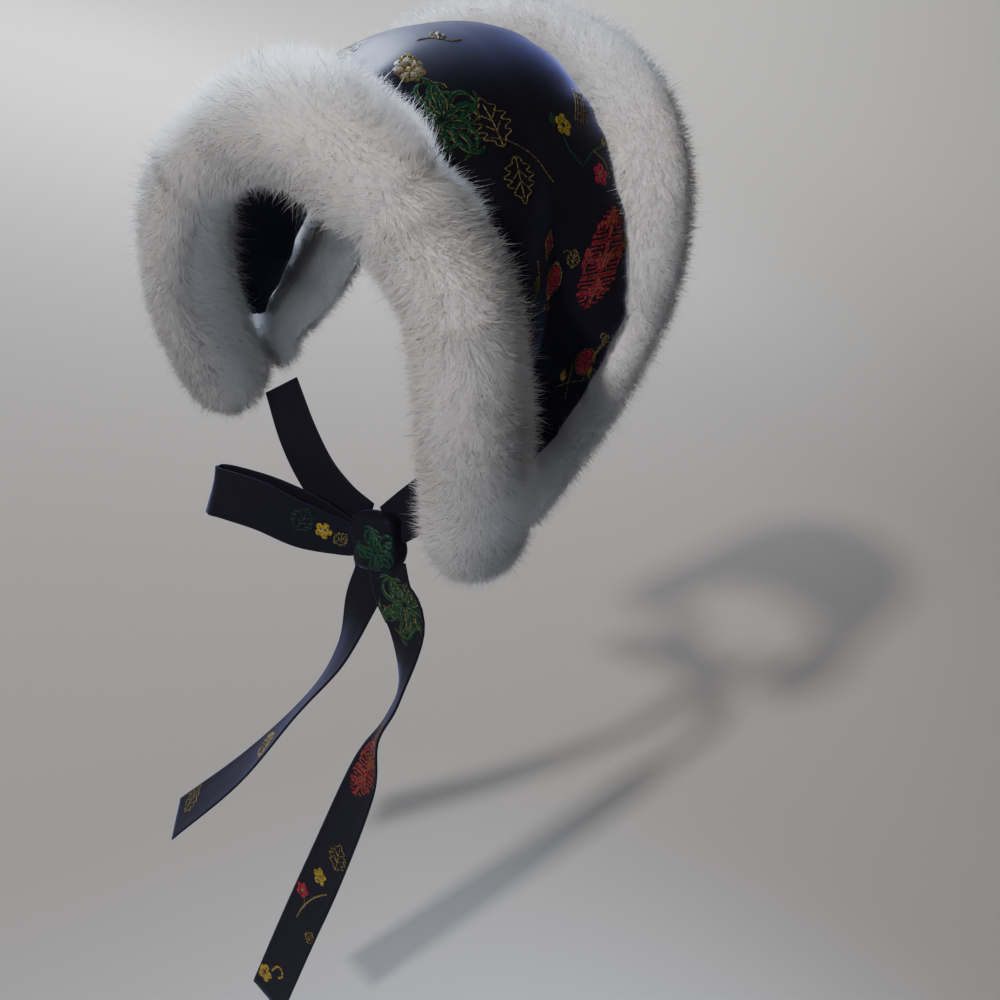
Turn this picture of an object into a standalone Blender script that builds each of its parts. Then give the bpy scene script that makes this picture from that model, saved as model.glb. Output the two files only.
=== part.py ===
"""A fur-trimmed brocade ear warmer, as it sits on a head.

A padded brocade band covers the crown and ears, with a thick fur roll along its front and rear edges.
Flat ties run from the cheek flaps to a half-bow knot under the chin, with one loop and two tails.
The origin is where the head's crown touches the band: +Z is up, -Y is the way the face looks.
"""

from collections import namedtuple

import bmesh
import bpy
import numpy as np

# The head that it fits, in metres
HEAD_WIDTH = 0.150
HEAD_DEPTH = 0.190
HEAD_HEIGHT = 0.220
HEAD_EASE = 0.0006

# The band and its two fur rolls
BAND_WALL = 0.003
BAND_TIP_WIDTH = 0.014
FRONT_FUR_WIDTH = 0.048
FRONT_FUR_RISE = 0.0245
REAR_FUR_WIDTH = 0.038
REAR_FUR_RISE = 0.025
LOCK_RISE = 0.0020
LOCK_LAY = 0.0035
SEAM_GAP = 0.0005

# The ties, the knot, the loop and the tails
RIBBON_WIDTH = 0.028
RIBBON_WALL = 0.0016
KNOT_WIDTH = 0.030
KNOT_DEPTH = 0.015
KNOT_HEIGHT = 0.032
KNOT_TILT = 24
KNOT_SIDE = 0.035
KNOT_FORWARD = 0.012
KNOT_DROP = 0.018
LOOP_REACH = 0.086
SHORT_TAIL_DROP = 0.236
LONG_TAIL_DROP = 0.301

# How finely the shapes are divided
FUR_STATIONS = 37
FUR_SIDES = 16
BAND_STATIONS = 25
BAND_SPANS = 10
RIBBON_STATIONS = 22

# A section of a fur roll. side, depth and height are shares of half the head's width, half its depth
# and its height; width, rise and seat are shares of the roll's own width and rise. seam is where the
# band meets it, in degrees above its widest line.
FurSection = namedtuple("FurSection", "side depth height width rise seat seam")
FRONT_SECTIONS = (
    FurSection(0.00, -0.960, -0.214, 1.08, 1.00, 0.38, -35),
    FurSection(0.32, -0.915, -0.240, 1.06, 1.00, 0.36, -35),
    FurSection(0.64, -0.815, -0.306, 1.00, 0.98, 0.36, -35),
    FurSection(0.95, -0.750, -0.400, 0.94, 0.92, 0.46, -35),
    FurSection(1.10, -0.680, -0.520, 0.98, 1.00, 0.62, -35),
    FurSection(1.19, -0.547, -0.660, 1.00, 0.96, 0.72, -35),
    FurSection(1.19, -0.360, -0.800, 1.00, 0.92, 0.80, -35),
    FurSection(1.15, -0.160, -0.915, 0.98, 0.90, 0.86, -35),
    FurSection(1.12, -0.040, -0.995, 0.96, 0.90, 0.86, -35),
)
REAR_SECTIONS = (
    FurSection(0.00, 0.612, 0.003, 1.00, 1.00, 0.66, -40),
    FurSection(0.45, 0.552, -0.020, 1.00, 1.00, 0.70, -40),
    FurSection(0.87, 0.472, -0.115, 1.00, 1.00, 0.78, -30),
    FurSection(1.06, 0.487, -0.260, 1.00, 1.00, 0.74, -6),
    FurSection(1.11, 0.512, -0.405, 1.00, 1.00, 0.68, 11),
    FurSection(1.12, 0.432, -0.550, 1.00, 0.98, 0.62, 14),
    FurSection(1.12, 0.297, -0.690, 0.96, 0.92, 0.58, 14),
    FurSection(1.13, 0.180, -0.762, 0.82, 0.84, 0.56, 10),
    FurSection(1.14, 0.140, -0.828, 0.60, 0.72, 0.54, 4),
    FurSection(1.12, 0.215, -0.895, 0.42, 0.58, 0.50, 0),
)

# A section of a ribbon. side, forward and drop are shares of the ribbon's own reach or drop, turn is
# the angle in degrees of its width from upright or from sideways, and width is a share of the ribbon.
RibbonSection = namedtuple("RibbonSection", "side forward drop turn width")
SHORT_TAIL_SECTIONS = (
    RibbonSection(0.000, 0.000, 0.000, 0, 0.80),
    RibbonSection(0.016, 0.004, 0.034, 2, 0.80),
    RibbonSection(0.016, 0.012, 0.109, 14, 0.84),
    RibbonSection(0.026, 0.036, 0.240, 46, 0.86),
    RibbonSection(-0.006, 0.066, 0.393, 66, 0.90),
    RibbonSection(-0.102, 0.085, 0.665, 52, 0.96),
    RibbonSection(-0.250, 0.097, 0.970, 42, 1.00),
)
LONG_TAIL_SECTIONS = (
    RibbonSection(0.000, 0.000, 0.000, 0, 0.84),
    RibbonSection(0.030, 0.002, 0.040, 4, 0.92),
    RibbonSection(0.078, 0.008, 0.075, 12, 1.02),
    RibbonSection(0.116, 0.020, 0.184, 54, 0.94),
    RibbonSection(0.114, 0.026, 0.270, 62, 0.90),
    RibbonSection(0.116, 0.032, 0.380, 24, 0.96),
    RibbonSection(0.112, 0.038, 0.600, 10, 1.00),
    RibbonSection(0.104, 0.044, 0.800, 6, 1.00),
    RibbonSection(0.098, 0.050, 1.000, 4, 1.00),
)
LOOP_SECTIONS = (
    RibbonSection(0.00, 0.045, 0.000, 0, 0.62),
    RibbonSection(-0.07, 0.070, 0.028, 0, 0.72),
    RibbonSection(-0.32, 0.170, 0.060, 0, 0.96),
    RibbonSection(-0.62, 0.235, 0.085, 0, 1.00),
    RibbonSection(-0.90, 0.265, 0.155, 0, 1.00),
    RibbonSection(-0.98, 0.250, 0.180, 0, 1.00),
    RibbonSection(-1.00, 0.215, 0.185, 0, 1.00),
    RibbonSection(-0.97, 0.180, 0.176, 0, 1.00),
    RibbonSection(-0.86, 0.155, 0.140, 0, 1.00),
    RibbonSection(-0.60, 0.110, 0.080, 0, 1.00),
    RibbonSection(-0.32, 0.050, 0.055, 0, 0.96),
    RibbonSection(-0.07, 0.012, 0.028, 0, 0.72),
    RibbonSection(0.00, 0.000, 0.000, 0, 0.62),
)
# A tie's sections: share of the way from the flap to the knot, and sag as a share of that way.
TieSection = namedtuple("TieSection", "along sag width")
LEFT_TIE_SECTIONS = (
    TieSection(0.00, 0.00, 0.90),
    TieSection(0.50, 0.01, 0.90),
    TieSection(1.00, 0.00, 0.80),
)
RIGHT_TIE_SECTIONS = (
    TieSection(0.00, 0.00, 0.90),
    TieSection(0.25, 0.11, 1.00),
    TieSection(0.50, 0.15, 1.00),
    TieSection(0.75, 0.11, 0.96),
    TieSection(1.00, 0.00, 0.80),
)

NAVY = (0.016, 0.017, 0.040, 1.0)
WHITE_FUR = (0.86, 0.87, 0.90, 1.0)

HEAD_SEMI_AXES = np.array((HEAD_WIDTH, HEAD_DEPTH, HEAD_HEIGHT)) / 2
HEAD_CENTRE = np.array((0.0, 0.0, -HEAD_HEIGHT / 2))
SECTION_SCALE = np.array((HEAD_WIDTH / 2, HEAD_DEPTH / 2, HEAD_HEIGHT))
MIRROR_X = np.array((-1.0, 1.0, 1.0))


def clear_scene():
    """Removes what a new file holds."""
    for item in list(bpy.data.objects):
        bpy.data.objects.remove(item, do_unlink=True)


def unit(vectors):
    """The vectors at length one."""
    vectors = np.asarray(vectors, float)
    return vectors / np.linalg.norm(vectors, axis=-1, keepdims=True)


def smooth_rows(rows, shares, mirrored=()):
    """Rows of numbers read from a smooth curve through them, at shares of the way along.

    mirrored names the columns that change sign across the first row, where a mirrored half begins.
    """
    rows = np.asarray(rows, float)
    first = 2 * rows[0] - rows[1]
    if mirrored:
        first = rows[1].copy()
        first[list(mirrored)] *= -1
    padded = np.vstack((first, rows, 2 * rows[-1] - rows[-2]))
    place = np.clip(np.asarray(shares, float), 0, 1) * (len(rows) - 1)
    at = np.minimum(place.astype(int), len(rows) - 2)
    t = (place - at)[:, None]
    p0, p1, p2, p3 = (padded[at + k] for k in range(4))
    return 0.5 * (2 * p1 + (p2 - p0) * t + (2 * p0 - 5 * p1 + 4 * p2 - p3) * t**2
                  + (3 * p1 - p0 - 3 * p2 + p3) * t**3)


def even_shares(rows, count, mirrored=()):
    """Shares along the rows whose places, in the first three columns, are evenly spaced."""
    fine = np.linspace(0, 1, 400)
    points = smooth_rows(rows, fine, mirrored)[:, :3]
    length = np.r_[0, np.cumsum(np.linalg.norm(np.diff(points, axis=0), axis=1))]
    return np.interp(np.linspace(0, length[-1], count), length, fine)


def away_from_head(points):
    """The outward direction of the head's surface nearest to each point."""
    return unit((points - HEAD_CENTRE) / HEAD_SEMI_AXES**2)


class FurRoll:
    """One half of a fur roll: sections from the middle of the head to the end at the jaw."""

    def __init__(self, sections, width, rise, faces_rear):
        self.rows = np.array([
            (*(np.array(s[:3]) * SECTION_SCALE), s[3] * width / 2, s[4] * rise, s[5] * rise,
             np.radians(s[6]))
            for s in sections
        ])
        self.faces_rear = faces_rear
        self.length_shares = even_shares(self.rows, 200, mirrored=(0,))

    def at(self, shares):
        """Centre, band side, outward side, half width, rise, seat and seam at shares of the length."""
        shares = np.interp(np.atleast_1d(shares), np.linspace(0, 1, 200), self.length_shares)
        step = 0.01
        here = smooth_rows(self.rows, shares, mirrored=(0,))
        ahead = smooth_rows(self.rows, np.minimum(shares + step, 1), mirrored=(0,))[:, :3]
        behind_shares = shares - step
        behind = smooth_rows(self.rows, np.abs(behind_shares), mirrored=(0,))[:, :3]
        behind[behind_shares < 0] *= MIRROR_X
        tangent = unit(ahead - behind)
        outward = away_from_head(here[:, :3])
        outward = unit(outward - (outward * tangent).sum(1, keepdims=True) * tangent)
        side = np.cross(outward, tangent) if self.faces_rear else np.cross(tangent, outward)
        return here[:, :3], side, outward, here[:, 3], here[:, 4], here[:, 5], here[:, 6]

    def edge(self, shares):
        """The points where the band meets this roll, at shares of its length."""
        centre, side, outward, half_width, rise, seat, seam = (
            value if value.ndim > 1 else value[:, None] for value in self.at(shares)
        )
        across = half_width * np.cos(np.minimum(seam, 0)) + SEAM_GAP * np.interp(seam, (-0.6, 0), (1, 5))
        up = np.where(seam > 0, rise, seat) * np.sin(seam) + SEAM_GAP * np.sin(seam)
        return centre + side * across + outward * up


def front_roll():
    """The fur roll along the face opening."""
    return FurRoll(FRONT_SECTIONS, FRONT_FUR_WIDTH, FRONT_FUR_RISE, faces_rear=True)


def rear_roll():
    """The fur roll along the rear edge, whose ends taper beside the front roll."""
    return FurRoll(REAR_SECTIONS, REAR_FUR_WIDTH, REAR_FUR_RISE, faces_rear=False)


def object_from(name, vertices, faces, colour, roughness):
    """A named object with its own material, with its faces turned outward."""
    mesh = bpy.data.meshes.new(name)
    mesh.from_pydata([tuple(v) for v in vertices], [], faces)
    shape = bmesh.new()
    shape.from_mesh(mesh)
    bmesh.ops.recalc_face_normals(shape, faces=shape.faces)
    shape.to_mesh(mesh)
    shape.free()
    mesh.shade_smooth()
    material = bpy.data.materials.new(name)
    material.use_nodes = True
    surface = material.node_tree.nodes["Principled BSDF"]
    surface.inputs["Base Color"].default_value = colour
    surface.inputs["Roughness"].default_value = roughness
    surface.inputs["Metallic"].default_value = 0.0
    mesh.materials.append(material)
    made = bpy.data.objects.new(name, mesh)
    collection = bpy.data.collections.get("ear_warmer") or bpy.data.collections.new("ear_warmer")
    if collection.name not in bpy.context.scene.collection.children:
        bpy.context.scene.collection.children.link(collection)
    collection.objects.link(made)
    return made


def ring_faces(rings, sides):
    """Quads between rings of points, with the ends left open."""
    return [
        (i * sides + j, i * sides + (j + 1) % sides,
         (i + 1) * sides + (j + 1) % sides, (i + 1) * sides + j)
        for i in range(rings - 1)
        for j in range(sides)
    ]


def closed_tube(name, rings, end_points, colour, roughness):
    """A closed tube through rings of points, with a fan from each end ring to its end point."""
    count, sides = rings.shape[:2]
    vertices = np.vstack((rings.reshape(-1, 3), end_points))
    faces = ring_faces(count, sides)
    for ring, tip in ((0, count * sides), (count - 1, count * sides + 1)):
        faces += [(ring * sides + j, ring * sides + (j + 1) % sides, tip) for j in range(sides)]
    return object_from(name, vertices, faces, colour, roughness)


def fur_roll(name, roll):
    """A fur roll with rounded ends, with pointed locks raised over all but its seat and its seam."""
    centre_end = roll.at(1.0)
    length = np.linalg.norm(np.diff(roll.at(np.linspace(0, 1, 100))[0], axis=0), axis=1).sum()
    cap = min(centre_end[3][0], length / 4) / length
    cap_shares = 1 - cap * (1 - np.sin(np.radians((18, 36, 54, 72, 84))))
    shares = np.r_[np.linspace(0, 1 - cap, FUR_STATIONS), cap_shares]
    centre, side, outward, half_width, rise, seat, _ = roll.at(shares)
    into_cap = np.clip((shares - (1 - cap)) / cap, 0, 1)
    round_off = np.sqrt(1 - into_cap**2)
    angles = np.linspace(0, 2 * np.pi, FUR_SIDES, endpoint=False)
    tangent = np.gradient(centre, axis=0)
    rings = []
    for i in range(len(shares)):
        across = np.cos(angles) * half_width[i] * round_off[i]
        height = np.sin(angles) * np.where(np.sin(angles) > 0, rise[i], seat[i]) * round_off[i]
        furred = np.clip(np.sin(angles - 0.25 * np.pi * (np.cos(angles) > 0)) * 3, 0, 1)
        tip = (np.arange(FUR_SIDES) + 2 * i) % 3 == 0
        lock = furred * np.where(tip, 1.0, -0.35) * round_off[i]
        if i == 0:
            lock = lock * 0
        radial = unit(np.stack((np.cos(angles), np.sin(angles)), 1)) * (lock * LOCK_RISE)[:, None]
        lay = np.where(tip, furred, 0)[:, None] * unit(tangent[i]) * LOCK_LAY * round_off[i]
        rings.append(
            centre[i] + (across + radial[:, 0])[:, None] * side[i]
            + (height + radial[:, 1])[:, None] * outward[i] + lay * (0 < i)
        )
    rings = np.array(rings)
    whole = np.vstack(((rings[1:] * MIRROR_X)[::-1], rings))
    end = centre_end[0][0]
    return closed_tube(name, whole, np.array((end * MIRROR_X, end)), WHITE_FUR, 0.9)


def band_surface(front, rear, stations, spans):
    """The band's outer surface: rows of points from the crown to the tip, each from front to rear."""
    fine = np.linspace(0, 1, 200)
    apart = np.linalg.norm(front.edge(fine)[:, None] - rear.edge(fine), axis=2)
    front_tip = np.argmax(apart.min(axis=1) < BAND_TIP_WIDTH)
    rear_tip = np.argmin(apart[front_tip])
    shares = np.linspace(0, 1, stations)
    start, stop = front.edge(shares * fine[front_tip]), rear.edge(shares * fine[rear_tip])
    along = np.linspace(0, 1, spans + 1)
    rows = []
    for near, far in zip(start, stop):
        straight = near + (far - near) * along[:, None]
        from_centre = straight - HEAD_CENTRE
        share_out = np.linalg.norm(from_centre / HEAD_SEMI_AXES, axis=1, keepdims=True)
        edge_out = share_out[0] + (share_out[-1] - share_out[0]) * along[:, None]
        swept = HEAD_CENTRE + from_centre * edge_out / share_out
        on_head = HEAD_CENTRE + from_centre / share_out
        hugging = on_head + away_from_head(on_head) * (BAND_WALL + HEAD_EASE)
        lift = ((1 + np.cos(2 * np.pi * along)) / 2)[:, None] ** 0.75
        reach = np.clip(np.linalg.norm(far - near) / (HEAD_DEPTH / 4), 0, 1)
        rows.append(swept + (hugging - swept) * (1 - lift) * reach)
    return np.array(rows)


def crown_band(front, rear):
    """The padded brocade band, a shell between the two fur rolls."""
    half = band_surface(front, rear, BAND_STATIONS, BAND_SPANS)
    whole = np.vstack(((half[1:] * MIRROR_X)[::-1], half))
    count, across = whole.shape[:2]
    faces = [
        (i * across + j, i * across + j + 1, (i + 1) * across + j + 1, (i + 1) * across + j)
        for i in range(count - 1)
        for j in range(across - 1)
    ]
    band = object_from("crown_band", whole.reshape(-1, 3), faces, NAVY, 0.45)
    middle = band.data.polygons[len(faces) // 2]
    if np.dot(middle.normal, away_from_head(np.array(middle.center))) < 0:
        band.data.flip_normals()
    wall = band.modifiers.new("wall", "SOLIDIFY")
    wall.thickness = BAND_WALL
    wall.offset = -1
    return band


def ribbon(name, points, width_directions, widths):
    """A flat ribbon along points, whose width runs along the directions given."""
    tangent = unit(np.gradient(points, axis=0))
    across = width_directions - (width_directions * tangent).sum(1, keepdims=True) * tangent
    across = unit(across) * widths[:, None] / 2
    through = np.cross(tangent, unit(across)) * RIBBON_WALL / 2
    corners = np.stack((across + through, through * 1.0, through - across,
                        -across - through, -through, across - through), axis=1)
    rings = points[:, None] + corners
    ends = np.array((points[0], points[-1]))
    return closed_tube(name, rings, ends, NAVY, 0.45)


def knot_point(side, back, up):
    """A place on the tilted knot, from its middle, in metres along its own axes."""
    tilt = np.radians(KNOT_TILT)
    turned = (side * np.cos(tilt) - up * np.sin(tilt), back, side * np.sin(tilt) + up * np.cos(tilt))
    return np.array((KNOT_SIDE, -KNOT_FORWARD, -HEAD_HEIGHT - KNOT_DROP)) + turned


def hanging_ribbon(name, sections, reach, start, upright):
    """A ribbon whose sections are shares of its reach, turned about the vertical by each row's turn."""
    rows = np.array([
        (s.side * reach, -s.forward * reach, -s.drop * reach, np.radians(s.turn), s.width)
        for s in sections
    ])
    rows = smooth_rows(rows, even_shares(rows, RIBBON_STATIONS))
    turn = rows[:, 3]
    sideways = np.stack((np.cos(turn), -np.sin(turn), np.zeros(len(turn))), 1)
    standing = np.stack((np.sin(turn), np.zeros(len(turn)), np.cos(turn)), 1)
    return ribbon(name, start + rows[:, :3], standing if upright else sideways,
                  rows[:, 4] * RIBBON_WIDTH)


def tie(name, front, sections, side):
    """The ribbon from one cheek flap's inner face to the knot's nearer upper corner."""
    centre, _, outward, _, _, seat, _ = front.at(0.93)
    flap = (centre[0] - outward[0] * (seat[0] + RIBBON_WIDTH * 0.35)) * (side, 1, 1)
    rounding = KNOT_DEPTH * 0.3 * 0.29 - SEAM_GAP
    corner = knot_point(side * (KNOT_WIDTH / 2 - rounding), KNOT_DEPTH * 0.2, KNOT_HEIGHT / 2 - rounding)
    way = corner - flap
    rows = np.array([
        (*(flap + way * s.along - np.array((0, 0, s.sag)) * np.linalg.norm(way)), s.width)
        for s in sections
    ])
    rows = smooth_rows(rows, even_shares(rows, RIBBON_STATIONS // 2))
    across = np.cross(np.gradient(rows[:, :3], axis=0), (0, 1, 0))
    return ribbon(name, rows[:, :3], across, rows[:, 3] * RIBBON_WIDTH)


def knot():
    """The flattened knot, a tilted soft block with rounded corners."""
    corners = [(x, y, z) for x in (-1, 1) for y in (-1, 1) for z in (-1, 1)]
    vertices = [knot_point(x * KNOT_WIDTH / 2, y * KNOT_DEPTH / 2, z * KNOT_HEIGHT / 2)
                for x, y, z in corners]
    faces = [(0, 1, 3, 2), (4, 6, 7, 5), (0, 4, 5, 1), (2, 3, 7, 6), (0, 2, 6, 4), (1, 5, 7, 3)]
    made = object_from("knot", vertices, faces, NAVY, 0.5)
    edge = made.modifiers.new("soft_edges", "BEVEL")
    edge.width = KNOT_DEPTH * 0.3
    edge.segments = 3
    return made


def main():
    """Builds every piece in its place."""
    clear_scene()
    front = front_roll()
    rear = rear_roll()
    fur_roll("front_fur_trim", front)
    fur_roll("rear_fur_trim", rear)
    crown_band(front, rear)
    tie("tie_left", front, LEFT_TIE_SECTIONS, 1)
    tie("tie_right", front, RIGHT_TIE_SECTIONS, -1)
    knot()
    below = -KNOT_HEIGHT / 2 - SEAM_GAP * 2
    short_start = knot_point(-KNOT_WIDTH / 4, KNOT_DEPTH * 0.2, below)
    long_start = knot_point(KNOT_WIDTH / 4, -KNOT_DEPTH * 0.2, below)
    loop_start = knot_point(-KNOT_WIDTH / 2 - SEAM_GAP * 3, 0, 0)
    hanging_ribbon("tail_short", SHORT_TAIL_SECTIONS, SHORT_TAIL_DROP, short_start, upright=False)
    hanging_ribbon("tail_long", LONG_TAIL_SECTIONS, LONG_TAIL_DROP, long_start, upright=False)
    hanging_ribbon("bow_loop", LOOP_SECTIONS, LOOP_REACH, loop_start, upright=True)


main()
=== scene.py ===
"""Dresses the fur-trimmed brocade ear warmer: pile, satin, woven motifs, ties, floor and lights."""

from __future__ import annotations

import logging
import math
from dataclasses import dataclass
from enum import Enum
from typing import NamedTuple, Sequence

import bpy
import numpy as np
from mathutils import Matrix, Vector
from mathutils.bvhtree import BVHTree

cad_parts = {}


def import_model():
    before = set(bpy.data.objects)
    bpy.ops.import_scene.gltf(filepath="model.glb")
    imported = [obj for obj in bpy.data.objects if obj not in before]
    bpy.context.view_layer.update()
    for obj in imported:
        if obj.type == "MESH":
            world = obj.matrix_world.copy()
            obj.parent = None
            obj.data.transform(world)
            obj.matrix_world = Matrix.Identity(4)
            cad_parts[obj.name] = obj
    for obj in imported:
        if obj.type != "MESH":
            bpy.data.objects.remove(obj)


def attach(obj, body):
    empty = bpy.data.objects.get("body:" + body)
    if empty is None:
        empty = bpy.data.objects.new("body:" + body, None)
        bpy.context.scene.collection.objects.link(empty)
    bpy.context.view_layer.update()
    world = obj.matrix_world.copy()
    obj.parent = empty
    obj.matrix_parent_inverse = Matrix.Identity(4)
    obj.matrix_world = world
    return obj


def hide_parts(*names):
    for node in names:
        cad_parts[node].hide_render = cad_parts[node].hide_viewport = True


LOG = logging.getLogger("ear_warmer")

# The head that it fits, in metres
HEAD_WIDTH = 0.150
HEAD_DEPTH = 0.190
HEAD_HEIGHT = 0.220
HEAD_EASE = 0.0006

# The band and its two fur rolls
BAND_WALL = 0.003
BAND_TIP_WIDTH = 0.014
FRONT_FUR_WIDTH = 0.048
FRONT_FUR_RISE = 0.0245
REAR_FUR_WIDTH = 0.038
REAR_FUR_RISE = 0.025
SEAM_GAP = 0.0005

# The ties, the knot, the loop and the tails
RIBBON_WIDTH = 0.028
RIBBON_WALL = 0.0014
KNOT_WIDTH = 0.030
KNOT_DEPTH = 0.015
KNOT_HEIGHT = 0.032
KNOT_TILT = 24
KNOT_SIDE = 0.035
KNOT_FORWARD = 0.012
KNOT_DROP = 0.018
LOOP_REACH = 0.086
SHORT_TAIL_DROP = 0.236
LONG_TAIL_DROP = 0.301

# The crease of the brow fur: where it is along the front roll, its reach and its depth, as shares
BROW_CREASE = 0.178
CREASE_REACH = 0.022
CREASE_DEPTH = 0.13

# Hairs in each coat, and the shares of them on its underside and gone astray
HAIRS = 56000
UNDERSIDE_SHARE = 0.16
STRAY_SHARE = 0.13

# How far the threads stand above the cloth, in metres, and how long a stitch is, in millimetres
THREAD_EDGE = 0.00005
THREAD_RIDGE = 0.00038
PATCH_RISE = 0.00030
PATCH_TOP = 0.00034
STITCH_STEP = 0.9

# A ribbon's hem and face on each side of its middle, as shares of its wall
HEM_EDGE_SHARE = 0.25
HEM_SHARE = 0.5
FACE_SHARE = 0.36

FLOOR_LEVEL = -0.60
MILLIMETRE = 0.001


class FurSection(NamedTuple):
    """A section of a fur roll, as shares of the head and of the roll, with its seam in degrees."""

    side: float
    depth: float
    height: float
    width: float
    rise: float
    seat: float
    seam: float


class RibbonSection(NamedTuple):
    """A section of a ribbon, as shares of its reach, with its turn in degrees."""

    side: float
    forward: float
    drop: float
    turn: float
    width: float


class TieSection(NamedTuple):
    """A section of a tie: share of the way to the knot, sag as a share of it, and width."""

    along: float
    sag: float
    width: float


FRONT_SECTIONS = (
    FurSection(0.00, -0.960, -0.214, 1.08, 1.00, 0.38, -35),
    FurSection(0.32, -0.915, -0.240, 1.06, 1.00, 0.36, -35),
    FurSection(0.64, -0.815, -0.306, 1.00, 0.98, 0.36, -35),
    FurSection(0.95, -0.750, -0.400, 0.94, 0.92, 0.46, -35),
    FurSection(1.10, -0.680, -0.520, 0.98, 1.00, 0.62, -35),
    FurSection(1.19, -0.547, -0.660, 1.00, 0.96, 0.72, -35),
    FurSection(1.19, -0.360, -0.800, 1.00, 0.92, 0.80, -35),
    FurSection(1.15, -0.160, -0.915, 0.98, 0.90, 0.86, -35),
    FurSection(1.12, -0.040, -0.995, 0.96, 0.90, 0.86, -35),
)
REAR_SECTIONS = (
    FurSection(0.00, 0.612, 0.003, 1.00, 1.00, 0.66, -40),
    FurSection(0.45, 0.552, -0.020, 1.00, 1.00, 0.70, -40),
    FurSection(0.87, 0.472, -0.115, 1.00, 1.00, 0.78, -30),
    FurSection(1.06, 0.487, -0.260, 1.00, 1.00, 0.74, -6),
    FurSection(1.11, 0.512, -0.405, 1.00, 1.00, 0.68, 11),
    FurSection(1.12, 0.432, -0.550, 1.00, 0.98, 0.62, 14),
    FurSection(1.12, 0.297, -0.690, 0.96, 0.92, 0.58, 14),
    FurSection(1.13, 0.180, -0.762, 0.82, 0.84, 0.56, 10),
    FurSection(1.14, 0.140, -0.828, 0.60, 0.72, 0.54, 4),
    FurSection(1.12, 0.215, -0.895, 0.42, 0.58, 0.50, 0),
)
SHORT_TAIL_SECTIONS = (
    RibbonSection(0.000, 0.000, 0.000, 0, 0.80),
    RibbonSection(0.016, 0.004, 0.034, 2, 0.80),
    RibbonSection(0.016, 0.012, 0.109, 14, 0.84),
    RibbonSection(0.026, 0.036, 0.240, 46, 0.86),
    RibbonSection(-0.006, 0.066, 0.393, 66, 0.90),
    RibbonSection(-0.102, 0.085, 0.665, 52, 0.96),
    RibbonSection(-0.250, 0.097, 0.970, 42, 1.00),
)
LONG_TAIL_SECTIONS = (
    RibbonSection(0.000, 0.000, 0.000, 0, 0.84),
    RibbonSection(0.030, 0.002, 0.040, 4, 0.92),
    RibbonSection(0.078, 0.008, 0.075, 12, 1.02),
    RibbonSection(0.116, 0.020, 0.184, 54, 0.94),
    RibbonSection(0.114, 0.026, 0.270, 62, 0.90),
    RibbonSection(0.116, 0.032, 0.380, 24, 0.96),
    RibbonSection(0.112, 0.038, 0.600, 10, 1.00),
    RibbonSection(0.104, 0.044, 0.800, 6, 1.00),
    RibbonSection(0.098, 0.050, 1.000, 4, 1.00),
)
LOOP_SECTIONS = (
    RibbonSection(0.00, 0.045, 0.000, 0, 0.62),
    RibbonSection(-0.07, 0.070, 0.028, 0, 0.72),
    RibbonSection(-0.32, 0.170, 0.060, 0, 0.96),
    RibbonSection(-0.62, 0.235, 0.085, 0, 1.00),
    RibbonSection(-0.90, 0.265, 0.155, 0, 1.00),
    RibbonSection(-0.98, 0.250, 0.180, 0, 1.00),
    RibbonSection(-1.00, 0.215, 0.185, 0, 1.00),
    RibbonSection(-0.97, 0.180, 0.176, 0, 1.00),
    RibbonSection(-0.86, 0.155, 0.140, 0, 1.00),
    RibbonSection(-0.60, 0.110, 0.080, 0, 1.00),
    RibbonSection(-0.32, 0.050, 0.055, 0, 0.96),
    RibbonSection(-0.07, 0.012, 0.028, 0, 0.72),
    RibbonSection(0.00, 0.000, 0.000, 0, 0.62),
)
LEFT_TIE_SECTIONS = (
    TieSection(0.00, 0.00, 0.90),
    TieSection(0.50, 0.01, 0.90),
    TieSection(1.00, 0.00, 0.80),
)
RIGHT_TIE_SECTIONS = (
    TieSection(0.00, 0.00, 0.90),
    TieSection(0.25, 0.11, 1.00),
    TieSection(0.50, 0.15, 1.00),
    TieSection(0.75, 0.11, 0.96),
    TieSection(1.00, 0.00, 0.80),
)

HEAD_SEMI_AXES = np.array((HEAD_WIDTH, HEAD_DEPTH, HEAD_HEIGHT)) / 2
HEAD_CENTRE = np.array((0.0, 0.0, -HEAD_HEIGHT / 2))
SECTION_SCALE = np.array((HEAD_WIDTH / 2, HEAD_DEPTH / 2, HEAD_HEIGHT))
MIRROR_X = np.array((-1.0, 1.0, 1.0))


def unit(vectors: np.ndarray) -> np.ndarray:
    """The vectors at length one."""
    vectors = np.asarray(vectors, float)
    return vectors / np.maximum(np.linalg.norm(vectors, axis=-1, keepdims=True), 1e-12)


def smooth_rows(rows: np.ndarray, shares: np.ndarray, mirrored: bool = False) -> np.ndarray:
    """Reads rows of numbers from a smooth curve through them.

    Args:
        rows: The table, a row for each section.
        shares: How far along the table to read, from 0 to 1.
        mirrored: Whether the first column changes sign across the first row.

    Returns:
        A row of numbers for each share.
    """
    rows = np.asarray(rows, float)
    first = 2 * rows[0] - rows[1]
    if mirrored:
        first = rows[1].copy()
        first[0] *= -1
    padded = np.vstack((first, rows, 2 * rows[-1] - rows[-2]))
    place = np.clip(np.asarray(shares, float), 0, 1) * (len(rows) - 1)
    at = np.minimum(place.astype(int), len(rows) - 2)
    t = (place - at)[:, None]
    p0, p1, p2, p3 = (padded[at + k] for k in range(4))
    return 0.5 * (
        2 * p1
        + (p2 - p0) * t
        + (2 * p0 - 5 * p1 + 4 * p2 - p3) * t**2
        + (3 * p1 - p0 - 3 * p2 + p3) * t**3
    )


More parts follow.
